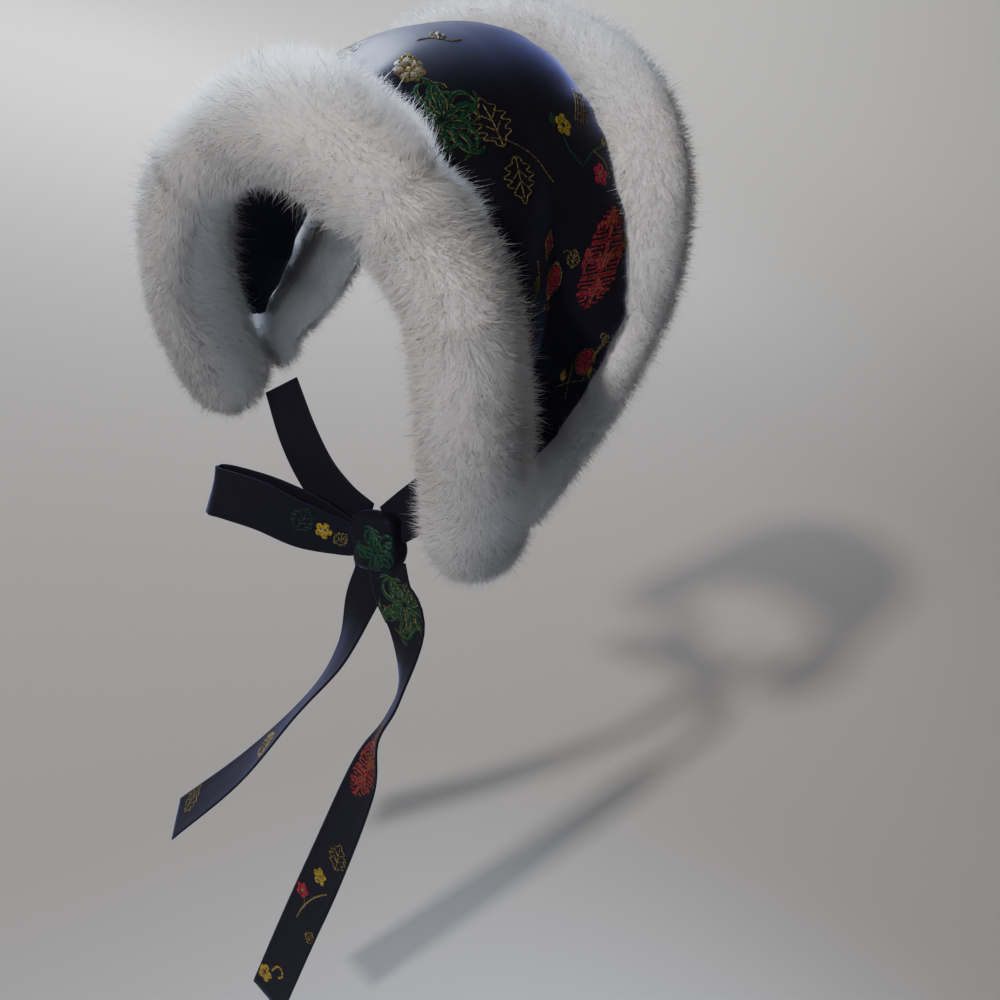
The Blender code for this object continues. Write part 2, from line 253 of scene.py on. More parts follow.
def even_shares(rows: np.ndarray, count: int, mirrored: bool = False) -> np.ndarray:
    """Shares along the rows whose places, in the first three columns, are evenly spaced.

    Args:
        rows: The table, a row for each section.
        count: How many shares to give.
        mirrored: Whether the first column changes sign across the first row.

    Returns:
        The shares, from 0 to 1.
    """
    fine = np.linspace(0, 1, 400)
    points = smooth_rows(rows, fine, mirrored)[:, :3]
    length = np.r_[0, np.cumsum(np.linalg.norm(np.diff(points, axis=0), axis=1))]
    return np.interp(np.linspace(0, length[-1], count), length, fine)


def away_from_head(points: np.ndarray) -> np.ndarray:
    """The outward direction of the head's surface nearest to each point."""
    return unit((points - HEAD_CENTRE) / HEAD_SEMI_AXES**2)


def mesh_object(
    name: str,
    vertices: np.ndarray,
    faces: Sequence[Sequence[int]],
    material: bpy.types.Material,
    smooth: bool = True,
) -> bpy.types.Object:
    """Makes an object from points and faces.

    Args:
        name: The piece's name.
        vertices: Its points, in metres.
        faces: The indices of each face's points.
        material: Its finish.
        smooth: Whether it is shaded smooth.

    Returns:
        The linked object.
    """
    mesh = bpy.data.meshes.new(name)
    mesh.from_pydata([tuple(map(float, v)) for v in vertices], [], [tuple(map(int, f)) for f in faces])
    if smooth:
        mesh.shade_smooth()
    mesh.materials.append(material)
    made = bpy.data.objects.new(name, mesh)
    bpy.context.scene.collection.objects.link(made)
    return made


def ring_faces(rows: int, around: int, capped: bool = True) -> list[tuple[int, ...]]:
    """Faces of a skin whose points run in rings.

    Args:
        rows: How many rings it has.
        around: How many points each ring has.
        capped: Whether its first and last rings are closed.

    Returns:
        The indices of each face's points.
    """
    faces: list[tuple[int, ...]] = []
    for i in range(rows - 1):
        here, after = i * around, (i + 1) * around
        for j in range(around):
            k = (j + 1) % around
            faces.append((here + j, here + k, after + k, after + j))
    if capped:
        faces += [tuple(range(around))[::-1], tuple(range((rows - 1) * around, rows * around))]
    return faces


def seat(piece: bpy.types.Object, slot: str, *nodes: str) -> bpy.types.Object:
    """Rides a piece on the root and hides the nodes that it stands for.

    Args:
        piece: The piece.
        slot: The slot's name, not used.
        nodes: The nodes that it stands for.

    Returns:
        The same piece.
    """
    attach(piece, "root")
    if nodes:
        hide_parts(*nodes)
    LOG.info("%s: %d faces", piece.name, len(piece.data.polygons))
    return piece


class Thread(Enum):
    """The colours of the woven threads."""

    GOLD = (0.205, 0.160, 0.055)
    YELLOW = (0.33, 0.235, 0.022)
    GREEN = (0.0042, 0.058, 0.029)
    RED = (0.33, 0.008, 0.042)
    MAGENTA = (0.16, 0.006, 0.07)
    TAN = (0.15, 0.125, 0.06)
    WHITE = (0.30, 0.30, 0.27)


@dataclass(frozen=True)
class FurFinish:
    """White pile, with painted shade that makes it darker and warmer toward its roots."""

    # root is the tip colour with painted shade, darker and warmer where the hairs shade each other.
    root: tuple[float, float, float] = (0.80, 0.79, 0.785)
    tip: tuple[float, float, float] = (0.87, 0.875, 0.895)
    roughness: float = 0.75

    def material(self) -> bpy.types.Material:
        """Builds the pile's material: painted shade from each hair's root to its tip, plus each hair's random
        tone.

        Returns:
            The material.
        """
        made = bpy.data.materials.new("white_pile")
        made.use_nodes = True
        nodes, links = made.node_tree.nodes, made.node_tree.links
        surface = nodes["Principled BSDF"]
        surface.inputs["Roughness"].default_value = self.roughness
        surface.inputs["Specular IOR Level"].default_value = 0.25
        surface.inputs["Sheen Weight"].default_value = 0.25
        surface.inputs["Sheen Roughness"].default_value = 0.5
        shade = nodes.new("ShaderNodeAttribute")
        shade.attribute_name = "shade"
        # The ramp paints the shade: the root colour at level 0, the tip colour at level 1.
        ramp = nodes.new("ShaderNodeValToRGB")
        ramp.color_ramp.elements[0].color = (*self.root, 1)
        ramp.color_ramp.elements[1].color = (*self.tip, 1)
        links.new(shade.outputs["Fac"], ramp.inputs["Fac"])
        links.new(ramp.outputs["Color"], surface.inputs["Base Color"])
        return made


@dataclass(frozen=True)
class SatinFinish:
    """Near-black navy satin, whose float threads catch a blue-violet sheen."""

    name: str = "navy_satin"
    colour: tuple[float, float, float] = (0.0125, 0.012, 0.0175)
    sheen: tuple[float, float, float] = (0.24, 0.25, 0.72)
    sheen_weight: float = 0.50
    roughness: float = 0.50

    def material(self) -> bpy.types.Material:
        """Builds the satin's material, with a fine twill in its bump.

        Returns:
            The material.
        """
        made = bpy.data.materials.new(self.name)
        made.use_nodes = True
        nodes, links = made.node_tree.nodes, made.node_tree.links
        surface = nodes["Principled BSDF"]
        surface.inputs["Base Color"].default_value = (*self.colour, 1)
        surface.inputs["Roughness"].default_value = self.roughness
        surface.inputs["IOR"].default_value = 1.36
        surface.inputs["Specular IOR Level"].default_value = 0.22
        surface.inputs["Specular Tint"].default_value = (0.34, 0.36, 0.92, 1)
        surface.inputs["Sheen Weight"].default_value = self.sheen_weight
        surface.inputs["Sheen Roughness"].default_value = 0.28
        surface.inputs["Sheen Tint"].default_value = (*self.sheen, 1)
        place = nodes.new("ShaderNodeTexCoord")
        twill = nodes.new("ShaderNodeTexWave")
        twill.inputs["Scale"].default_value = 420
        twill.inputs["Distortion"].default_value = 1.5
        bump = nodes.new("ShaderNodeBump")
        bump.inputs["Strength"].default_value = 0.12
        bump.inputs["Distance"].default_value = 0.0002
        links.new(place.outputs["Object"], twill.inputs["Vector"])
        links.new(twill.outputs["Fac"], bump.inputs["Height"])
        links.new(bump.outputs["Normal"], surface.inputs["Normal"])
        return made


@dataclass(frozen=True)
class ThreadFinish:
    """Raised silk threads of one colour."""

    thread: Thread
    roughness: float = 0.5

    def material(self) -> bpy.types.Material:
        """Builds the thread's material, with painted glints on the stitches and painted shade between them.

        Returns:
            The material.
        """
        made = bpy.data.materials.new(f"thread_{self.thread.name.lower()}")
        made.use_nodes = True
        nodes, links = made.node_tree.nodes, made.node_tree.links
        surface = nodes["Principled BSDF"]
        surface.inputs["Roughness"].default_value = self.roughness
        surface.inputs["Specular IOR Level"].default_value = 0.3
        place = nodes.new("ShaderNodeTexCoord")
        # Painted glints and shade: each small cell is brighter than the thread's colour at its middle and far
        # darker at its edge.
        stitch_glints_and_shade = nodes.new("ShaderNodeTexVoronoi")
        stitch_glints_and_shade.inputs["Scale"].default_value = 1150
        ramp = nodes.new("ShaderNodeValToRGB")
        ramp.color_ramp.elements[0].position = 0.25
        ramp.color_ramp.elements[0].color = (*(1.35 * channel for channel in self.thread.value), 1)
        ramp.color_ramp.elements[1].position = 0.72
        ramp.color_ramp.elements[1].color = (*(0.22 * channel for channel in self.thread.value), 1)
        links.new(place.outputs["Object"], stitch_glints_and_shade.inputs["Vector"])
        links.new(stitch_glints_and_shade.outputs["Distance"], ramp.inputs["Fac"])
        links.new(ramp.outputs["Color"], surface.inputs["Base Color"])
        return made


@dataclass
class FurRoll:
    """One half of a fur roll: sections from the middle of the head to the end at the jaw."""

    sections: Sequence[FurSection]
    width: float
    rise: float
    faces_rear: bool
    crease: float = -1.0

    def __post_init__(self) -> None:
        """Turns the table of shares into metres and radians."""
        self.rows = np.array([
            (
                *(np.array(s[:3]) * SECTION_SCALE),
                s.width * self.width / 2,
                s.rise * self.rise,
                s.seat * self.rise,
                math.radians(s.seam),
            )
            for s in self.sections
        ])
        self.length_shares = even_shares(self.rows, 200, True)
        middle = smooth_rows(self.rows, self.length_shares, True)[:, :3]
        self.length = float(np.linalg.norm(np.diff(middle, axis=0), axis=1).sum())

    def at(self, shares: np.ndarray) -> tuple[np.ndarray, ...]:
        """Reads the roll at shares of its length.

        Args:
            shares: How far along the half roll, from 0 at the middle of the head to 1 at the jaw.

        Returns:
            Centre, direction to the band, outward direction, tangent, half width, rise, seat and seam.
        """
        shares = np.interp(np.atleast_1d(shares), np.linspace(0, 1, 200), self.length_shares)
        step = 0.01
        here = smooth_rows(self.rows, shares, True)
        ahead = smooth_rows(self.rows, np.minimum(shares + step, 1), True)[:, :3]
        back_shares = shares - step
        behind = smooth_rows(self.rows, np.abs(back_shares), True)[:, :3]
        behind[back_shares < 0] *= MIRROR_X
        tangent = unit(ahead - behind)
        outward = away_from_head(here[:, :3])
        outward = unit(outward - (outward * tangent).sum(1, keepdims=True) * tangent)
        side = np.cross(outward, tangent) if self.faces_rear else np.cross(tangent, outward)
        return here[:, :3], side, outward, tangent, *(here[:, k][:, None] for k in range(3, 7))

    def seam(self, shares: np.ndarray) -> np.ndarray:
        """The points where the band meets this roll, at shares of its length.

        Args:
            shares: How far along the half roll, from 0 to 1.

        Returns:
            A point for each share.
        """
        centre, side, outward, _, half_width, rise, seat_depth, seam = self.at(shares)
        spare = SEAM_GAP * np.interp(seam, (-0.6, 0), (1, 5))
        across = half_width * np.cos(np.minimum(seam, 0)) + spare
        up = np.where(seam > 0, rise, seat_depth) * np.sin(seam) + SEAM_GAP * np.sin(seam)
        return centre + side * across + outward * up

    def skin(
        self, shares: np.ndarray, angles: np.ndarray, depth: float, dented: float | np.ndarray = 0.0,
    ) -> tuple[np.ndarray, ...]:
        """Places points on the leather under the pile.

        Args:
            shares: How far along the half roll each point is.
            angles: Each point's angle round the section, 0 toward the band and a quarter turn outward.
            depth: The leather's size as a share of the section.
            dented: How much of the crease by the brow each point has, from 0 to 1.

        Returns:
            The points, their outward directions, the tangents and the directions away from the ridge.
        """
        centre, side, outward, tangent, half_width, rise, seat_depth, _ = self.at(shares)
        cap = float(self.rows[-1, 3]) / self.length
        into_cap = np.clip((shares - (1 - cap)) / cap, 0, 0.995)[:, None]
        round_off = np.sqrt(1 - into_cap**2)
        c, s = np.cos(angles)[:, None], np.sin(angles)[:, None]
        height = np.where(s > 0, rise, seat_depth)
        from_crease = (shares - self.crease) / CREASE_REACH
        dent = 1 - (CREASE_DEPTH * dented * np.exp(-(from_crease**2)))[:, None]
        points = centre + (side * c * half_width + outward * s * height) * round_off * depth * dent
        out = unit(side * c / half_width + outward * s / height)
        out = unit(out * round_off + tangent * into_cap)
        off_ridge = unit(side * s * half_width - outward * c * height) * c
        return points, out, tangent, off_ridge


@dataclass
class FurCoat:
    """A stretch of a fur roll: the leather under the pile, and its hairs."""

    name: str
    roll: FurRoll
    start: float
    stop: float
    sides: tuple[int, ...]
    hairs: int
    seed: int
    slot: str
    depth: float = 0.905
    hair_length: float = 0.0048
    hair_width: float = 0.00017

    def waves(self, shares: np.ndarray, angles: np.ndarray, random: np.random.Generator) -> np.ndarray:
        """A smooth, seeded field of leans over the coat, in two columns from about -1 to 1.

        Args:
            shares: How far along the half roll each hair is.
            angles: Each hair's angle round the section.
            random: Where the chances come from.

        Returns:
            A row of two leans for each hair.
        """
        field = np.zeros((len(shares), 2))
        along = shares * self.roll.length / 0.022
        for k in range(7):
            a, b = random.uniform(0.5, 2.6), random.uniform(0.6, 3.0)
            for column in range(2):
                phase = random.uniform(0, 2 * math.pi)
                flip = random.choice((-1, 1))
                field[:, column] += np.sin(a * along + flip * b * angles + phase) / math.sqrt(7)
        return field

    def places(self, random: np.random.Generator) -> tuple[np.ndarray, np.ndarray, np.ndarray]:
        """Scatters the hairs over the coat, fewer of them on its underside.

        Args:
            random: Where the chances come from.

        Returns:
            Each hair's share of the half roll's length, its angle round the section and its side of the head.
        """
        count = self.hairs
        shares = random.uniform(self.start, self.stop, count)
        under = random.uniform(0, 1, count) < UNDERSIDE_SHARE
        angles = np.where(
            under,
            random.uniform(math.radians(205), math.radians(335), count),
            random.uniform(math.radians(-38), math.radians(212), count),
        )
        return shares, angles, random.choice(self.sides, count)

    def lengths(self, random: np.random.Generator) -> np.ndarray:
        """The hairs' lengths in metres, with some long stray ones."""
        count = self.hairs
        long = random.normal(1.0, 0.13, count).clip(0.55, 1.5)
        stray = random.uniform(0, 1, count) < STRAY_SHARE
        return np.where(stray, long * random.uniform(1.4, 2.1, count), long) * self.hair_length

    def blade_mesh(self, vertices: np.ndarray, shades: np.ndarray, sign: np.ndarray) -> bpy.types.Mesh:
        """Joins each hair's five points as a quad and a triangle.

        Args:
            vertices: The points, five to a hair.
            shades: Each point's painted shade level, from 0 at the darkened roots to 1, with the hair's
                random tone added.
            sign: Each hair's side of the head, as a mirrored hair's faces run the other way.

        Returns:
            The mesh.
        """
        count = self.hairs
        base = np.arange(count)[:, None] * 5
        loops = np.where(sign[:, None] > 0, (0, 1, 3, 2, 2, 3, 4), (1, 0, 2, 3, 3, 2, 4)) + base
        starts = (np.arange(count)[:, None] * 7 + np.array((0, 4))).ravel()
        mesh = bpy.data.meshes.new(self.name)
        mesh.vertices.add(len(vertices))
        mesh.vertices.foreach_set("co", vertices.astype(np.float32).ravel())
        mesh.loops.add(loops.size)
        mesh.loops.foreach_set("vertex_index", loops.astype(np.int32).ravel())
        mesh.polygons.add(count * 2)
        mesh.polygons.foreach_set("loop_start", starts.astype(np.int32))
        mesh.update(calc_edges=True)
        mesh.shade_smooth()
        # This attribute carries painted shade from root to tip, plus each hair's random tone.
        shade_and_tone_layer = mesh.attributes.new("shade", "FLOAT", "POINT")
        shade_and_tone_layer.data.foreach_set("value", shades.clip(0, 1).astype(np.float32))
        return mesh

    def grow(self, material: bpy.types.Material) -> bpy.types.Object:
        """Grows the hairs as tapered blades, each two lengths long.

        Args:
            material: Their finish.

        Returns:
            The coat.
        """
        random = np.random.default_rng(self.seed)
        count = self.hairs
        shares, angles, sign = self.places(random)
        dented = (sign > 0).astype(float)
        root, out, tangent, off_ridge = self.roll.skin(shares, angles, self.depth, dented)
        parting = (shares - self.roll.crease)[:, None] / 0.040
        parting = parting * np.exp(-(parting**2)) * 1.5 * dented[:, None]
        lean = self.waves(shares, angles, random)
        lay = (
            tangent * (0.16 + 0.26 * lean[:, :1] + parting)
            + off_ridge * 0.42
            + np.cross(out, tangent) * 0.24 * lean[:, 1:]
            + random.normal(0, 0.34, (count, 3))
        )
        way = unit(out + lay)
        long = self.lengths(random)
        twist = random.normal(0, 0.75, count)[:, None]
        flat = unit(np.cross(way, out + random.normal(0, 0.05, (count, 3))))
        flat = flat * np.cos(twist) + np.cross(way, flat) * np.sin(twist)
        tone = (random.normal(0, 0.07, count) + 0.10 * lean[:, 0]).clip(-0.3, 0.3)
        turn = np.stack((sign, np.ones(count), np.ones(count)), 1)
        points, shade = [], []
        # light is each point's painted shade level: 0 is the darkened root, 0.6 the middle of the blade and
        # 0.95 the tip, each plus the hair's random tone.
        for s, taper, light in ((0.0, 0.9, 0.0), (0.55, 0.8, 0.6)):
            middle = root + (way * s + lay * 0.32 * s**2) * long[:, None]
            half = flat * self.hair_width / 2 * taper
            points += [(middle - half) * turn, (middle + half) * turn]
            shade += [light + tone] * 2
        points.append((root + (way + lay * 0.32) * long[:, None]) * turn)
        shade.append(0.95 + tone)
        mesh = self.blade_mesh(np.stack(points, 1).reshape(-1, 3), np.stack(shade, 1).reshape(-1), sign)
        soft = unit(out + 0.08 * lay) * turn
        mesh.normals_split_custom_set_from_vertices(np.repeat(soft, 5, axis=0).astype(np.float32))
        mesh.materials.append(material)
        made = bpy.data.objects.new(self.name, mesh)
        bpy.context.scene.collection.objects.link(made)
        return seat(made, self.slot)

    def leather(self, name: str, material: bpy.types.Material, node: str) -> bpy.types.Object:
        """The closed roll under the pile, over the whole of both sides.

        Args:
            name: The piece's name.
            material: Its finish.
            node: The node that it stands for.

        Returns:
            The roll.
        """
        around = 40
        angles = np.linspace(0, 2 * np.pi, around, endpoint=False)
        cap = float(self.roll.rows[-1, 3]) / self.roll.length
        shares = np.r_[np.linspace(0, 1 - cap, 90), 1 - cap * (1 - np.sin(np.linspace(0.1, 1.5, 9)))]
        depth = self.depth + 0.01
        plain, dented = (
            np.array([self.roll.skin(np.full(around, s), angles, depth, side)[0] for s in shares])
            for side in (0.0, 1.0)
        )
        whole = np.vstack(((plain[1:] * MIRROR_X)[::-1], dented))
        made = mesh_object(name, whole.reshape(-1, 3), ring_faces(len(whole), around), material)
        tone = made.data.attributes.new("shade", "FLOAT", "POINT")
        tone.data.foreach_set("value", np.ones(len(made.data.vertices), np.float32))
        return seat(made, self.slot, node)


@dataclass
class CrownBand:
    """The padded brocade band between the two rolls."""

    front: FurRoll
    rear: FurRoll
    stations: int = 90
    spans: int = 36

    def __post_init__(self) -> None:
        """Lays the outer surface of the left half."""
        fine = np.linspace(0, 1, 200)
        apart = np.linalg.norm(self.front.seam(fine)[:, None] - self.rear.seam(fine), axis=2)
        front_tip = np.argmax(apart.min(axis=1) < BAND_TIP_WIDTH)
        rear_tip = np.argmin(apart[front_tip])
        shares = np.linspace(0, 1, self.stations)
        start = self.front.seam(shares * fine[front_tip])
        stop = self.rear.seam(shares * fine[rear_tip])
        along = np.linspace(0, 1, self.spans + 1)
        rows = []
        for near, far in zip(start, stop):
            straight = near + (far - near) * along[:, None]
            from_centre = straight - HEAD_CENTRE
            share_out = np.linalg.norm(from_centre / HEAD_SEMI_AXES, axis=1, keepdims=True)
            edge_out = share_out[0] + (share_out[-1] - share_out[0]) * along[:, None]
            swept = HEAD_CENTRE + from_centre * edge_out / share_out
            on_head = HEAD_CENTRE + from_centre / share_out
            hugging = on_head + away_from_head(on_head) * (BAND_WALL + HEAD_EASE)
            lift = ((1 + np.cos(2 * np.pi * along)) / 2)[:, None] ** 0.75
            reach = np.clip(np.linalg.norm(far - near) / (HEAD_DEPTH / 4), 0, 1)
            rows.append(swept + (hugging - swept) * (1 - lift) * reach)
        self.half = np.array(rows)

    def puckers(self, whole: np.ndarray) -> np.ndarray:
        """Small soft folds that run across the band from its seams, as lifts in metres.

        Args:
            whole: The band's outer points, in rows along it.

        Returns:
            A lift for each point.
        """
        rows, across = whole.shape[:2]
        place = (np.arange(rows) - rows // 2) / (rows // 2)
        share = np.linspace(0, 1, across)
        near_seam = np.exp(-((share / 0.20) ** 2)) + np.exp(-(((1 - share) / 0.24) ** 2))
        fold = (
            np.sin(place[:, None] * 61 + share * 2.0)
            + 0.7 * np.sin(place[:, None] * 37 - share * 3.1 + 1.3)
            + 0.5 * np.sin(place[:, None] * 97 + 0.4)
        )
        return fold * near_seam * 0.00042 * (1 - np.abs(place[:, None]) ** 6)

    def build(self, material: bpy.types.Material) -> bpy.types.Object:
        """Builds the closed band and keeps its outer face for the stitches.

        Args:
            material: Its finish.

        Returns:
            The band.
        """
        whole = np.vstack(((self.half[1:] * MIRROR_X)[::-1], self.half))
        rows, across = whole.shape[:2]
        along = unit(np.gradient(whole, axis=0))
        over = unit(np.gradient(whole, axis=1))
        out = unit(np.cross(over, along))
        away = away_from_head(whole.reshape(-1, 3)).reshape(whole.shape)
        facing = np.sign((out * away).sum(2, keepdims=True))
        out = out * facing
        outer = whole + out * self.puckers(whole)[:, :, None]
        inner = whole - out * BAND_WALL
        self.outer, self.out, self.along = outer, out, along
        count = rows * across
        corners = [i * across + j for i in range(rows - 1) for j in range(across - 1)]
        outer_faces = [(a, a + 1, a + 1 + across, a + across) for a in corners]
        faces = []
        for face in outer_faces:
            faces += [face, tuple(count + corner for corner in reversed(face))]
        edge = [(0, j) for j in range(across)]
        edge += [(i, across - 1) for i in range(1, rows)]
        edge += [(rows - 1, j) for j in range(across - 2, -1, -1)]
        edge += [(i, 0) for i in range(rows - 2, 0, -1)]
        ids = [i * across + j for i, j in edge]
        for a, b in zip(ids, ids[1:] + ids[:1]):
            faces.append((b, a, count + a, count + b))
        self.tree = BVHTree.FromPolygons([tuple(v) for v in outer.reshape(-1, 3)], outer_faces)
        both = np.vstack((outer.reshape(-1, 3), inner.reshape(-1, 3)))
        made = mesh_object("crown_band_satin", both, faces, material)
        self.turn_outward(made)
        return seat(made, "crown_band", "crown_band")

    def turn_outward(self, made: bpy.types.Object) -> None:
        """Flips the faces if the outer ones look inward."""
        polygon = made.data.polygons[len(made.data.polygons) // 2 // 2 * 2]
        if Vector(polygon.normal).dot(Vector(away_from_head(np.array(polygon.center)))) < 0:
            made.data.flip_normals()

    def cloth(self, along: float, across: float, turn: float) -> "ClothPatch":
        """A flat patch of the band to stitch on.

        Args:
            along: Share of the way from the crown to the tip, negative on the wearer's right.
            across: Share of the way from the front fur to the rear fur.
            turn: Degrees from up the band to the patch's own up.

        Returns:
            The patch.
        """
        rows, spans = self.outer.shape[:2]
        i = (rows // 2) * (1 + along)
        j = (spans - 1) * across
        i0, j0 = int(min(i, rows - 2)), int(min(j, spans - 2))
        fi, fj = i - i0, j - j0
        corner = self.outer[i0:i0 + 2, j0:j0 + 2]
        centre = (
            corner[0, 0] * (1 - fi) * (1 - fj) + corner[1, 0] * fi * (1 - fj)
            + corner[0, 1] * (1 - fi) * fj + corner[1, 1] * fi * fj
        )
        out = unit(self.out[i0, j0])
        down = self.along[i0, j0] * (1 if along >= 0 else -1)
        down = unit(down - out * float(np.dot(out, down)))
        over = np.cross(out, down)
        up = -down * math.cos(math.radians(turn)) + over * math.sin(math.radians(turn))
        return ClothPatch(self.tree, centre, np.cross(up, out), up, out)


@dataclass
class ClothPatch:
    """A place on a cloth: flat points in millimetres are laid on its surface."""

    tree: BVHTree
    centre: np.ndarray
    right: np.ndarray
    up: np.ndarray
    out: np.ndarray

    def lay(self, flat: np.ndarray, lift: float) -> np.ndarray:
        """Lays flat points on the cloth.

        Args:
            flat: Points in millimetres, right and up of the patch's middle.
            lift: How far above the cloth, in metres.

        Returns:
            The points.
        """
        points = []
        for x, y in np.asarray(flat, float) * MILLIMETRE:
            guess = Vector(self.centre + self.right * x + self.up * y)
            place, normal, _, _ = self.tree.find_nearest(guess)
            normal = np.array(normal)
            if np.dot(normal, self.out) < 0:
                normal = -normal
            points.append(np.array(place) + normal * lift)
        return np.array(points)


class Stitch(NamedTuple):
    """One line or patch of thread, in millimetres: a filled one with a width is a leaf-shaped line."""

    thread: Thread
    points: np.ndarray
    width: float
    filled: bool


class Embroidery:
    """Gathers stitches by colour and makes one piece of each colour."""

    def __init__(self, name: str, slot: str) -> None:
        """Starts with no stitches.

        Args:
            name: What each colour's piece is named after.
            slot: The slot of those pieces.
        """
        self.name = name
        self.slot = slot
        self.vertices: dict[Thread, list[np.ndarray]] = {}
        self.faces: dict[Thread, list[tuple[int, ...]]] = {}

    def add(self, patch: "ClothPatch | RibbonPatch", stitches: Sequence[Stitch]) -> None:
        """Lays a motif's stitches on a patch of cloth.

        Args:
            patch: Where they go.
            stitches: The stitches.
        """
        for stitch in stitches:
            if stitch.filled and stitch.width == 0:
                self.fill(patch, stitch)
            else:
                self.line(patch, stitch)

    def fill(self, patch: "ClothPatch | RibbonPatch", stitch: Stitch) -> None:
        """A raised patch of thread, as a fan round its middle.

        Args:
            patch: Where it goes.
            stitch: Its rim and colour.
        """
        rim = np.asarray(stitch.points, float)
        middle = rim.mean(0)
        inner = middle + (rim - middle) * 0.72
        low = patch.lay(rim, THREAD_EDGE)
        high = patch.lay(inner, PATCH_RISE)
        top = patch.lay(middle[None], PATCH_TOP)
        store = self.vertices.setdefault(stitch.thread, [])
        faces = self.faces.setdefault(stitch.thread, [])
        base, n = len(store), len(rim)
        store += [*low, *high, *top]
        for k in range(n):
            m = (k + 1) % n
            faces.append((base + k, base + m, base + n + m, base + n + k))
            faces.append((base + n + k, base + n + m, base + 2 * n))

    def line(self, patch: "ClothPatch | RibbonPatch", stitch: Stitch) -> None:
        """A raised line of thread, with a ridge along it.

        Args:
            patch: Where it goes.
            stitch: Its route, width and colour.
        """
        points = np.asarray(stitch.points, float)
        step = np.linalg.norm(np.diff(points, axis=0), axis=1)
        length = np.r_[0, np.cumsum(step)]
        count = max(2, int(length[-1] / STITCH_STEP) + 1)
        even = np.linspace(0, length[-1], count)
        points = np.stack([np.interp(even, length, points[:, k]) for k in range(2)], 1)
        way = unit(np.gradient(points, axis=0))
        taper = np.sin(np.pi * np.linspace(0.06, 0.94, count)) ** 0.6 if stitch.filled else np.ones(count)
        over = np.stack((-way[:, 1], way[:, 0]), 1) * stitch.width / 2 * taper[:, None]
        left = patch.lay(points - over, THREAD_EDGE)
        ridge = patch.lay(points, THREAD_RIDGE)
        right = patch.lay(points + over, THREAD_EDGE)
        store = self.vertices.setdefault(stitch.thread, [])
        faces = self.faces.setdefault(stitch.thread, [])
        base = len(store)
        for a, b, c in zip(left, ridge, right):
            store += [a, b, c]
        for k in range(count - 1):
            at = base + 3 * k
            faces += [(at, at + 3, at + 4, at + 1), (at + 1, at + 4, at + 5, at + 2)]

    def build(self, threads: dict[Thread, bpy.types.Material]) -> None:
        """Makes a piece for each colour that was used.

        Args:
            threads: The colours' finishes.
        """
        for thread, vertices in self.vertices.items():
            name = f"{self.name}_{thread.name.lower()}"
            made = mesh_object(name, np.array(vertices), self.faces[thread], threads[thread])
            seat(made, self.slot)


def circle(
    radius: float, count: int = 20, centre: tuple[float, float] = (0, 0), tall: float = 1.0,
) -> np.ndarray:
    """Points round a circle or an ellipse, in millimetres."""
    t = np.linspace(0, 2 * np.pi, count, endpoint=False)
    return np.stack((centre[0] + radius * np.cos(t), centre[1] + radius * tall * np.sin(t)), 1)


def closed(points: np.ndarray) -> np.ndarray:
    """The points with the first again at the end."""
    return np.vstack((points, points[:1]))


def turned(points: np.ndarray, degrees: float, about: tuple[float, float] = (0, 0)) -> np.ndarray:
    """The points turned anticlockwise about a place.

    Args:
        points: The points.
        degrees: How far.
        about: The place.

    Returns:
        The turned points.
    """
    a = math.radians(degrees)
    spin = np.array(((math.cos(a), math.sin(a)), (-math.sin(a), math.cos(a))))
    return (np.asarray(points, float) - about) @ spin + about


def petal(reach: float, width: float, lean: float = 0.0, count: int = 9) -> np.ndarray:
    """The rim of a petal that points up from the origin and leans to one side.

    Args:
        reach: Its length.
        width: Its width.
        lean: How far its tip leans.
        count: How many points each side has.

    Returns:
        The rim, open at the origin.
    """
    t = np.linspace(0, 1, count)
    half = width / 2 * np.sin(np.pi * t**0.8)
    bend = lean * t**2
    left = np.stack((bend - half, reach * t), 1)
    right = np.stack((bend + half, reach * t), 1)
    return np.vstack((left, right[::-1][1:-1]))


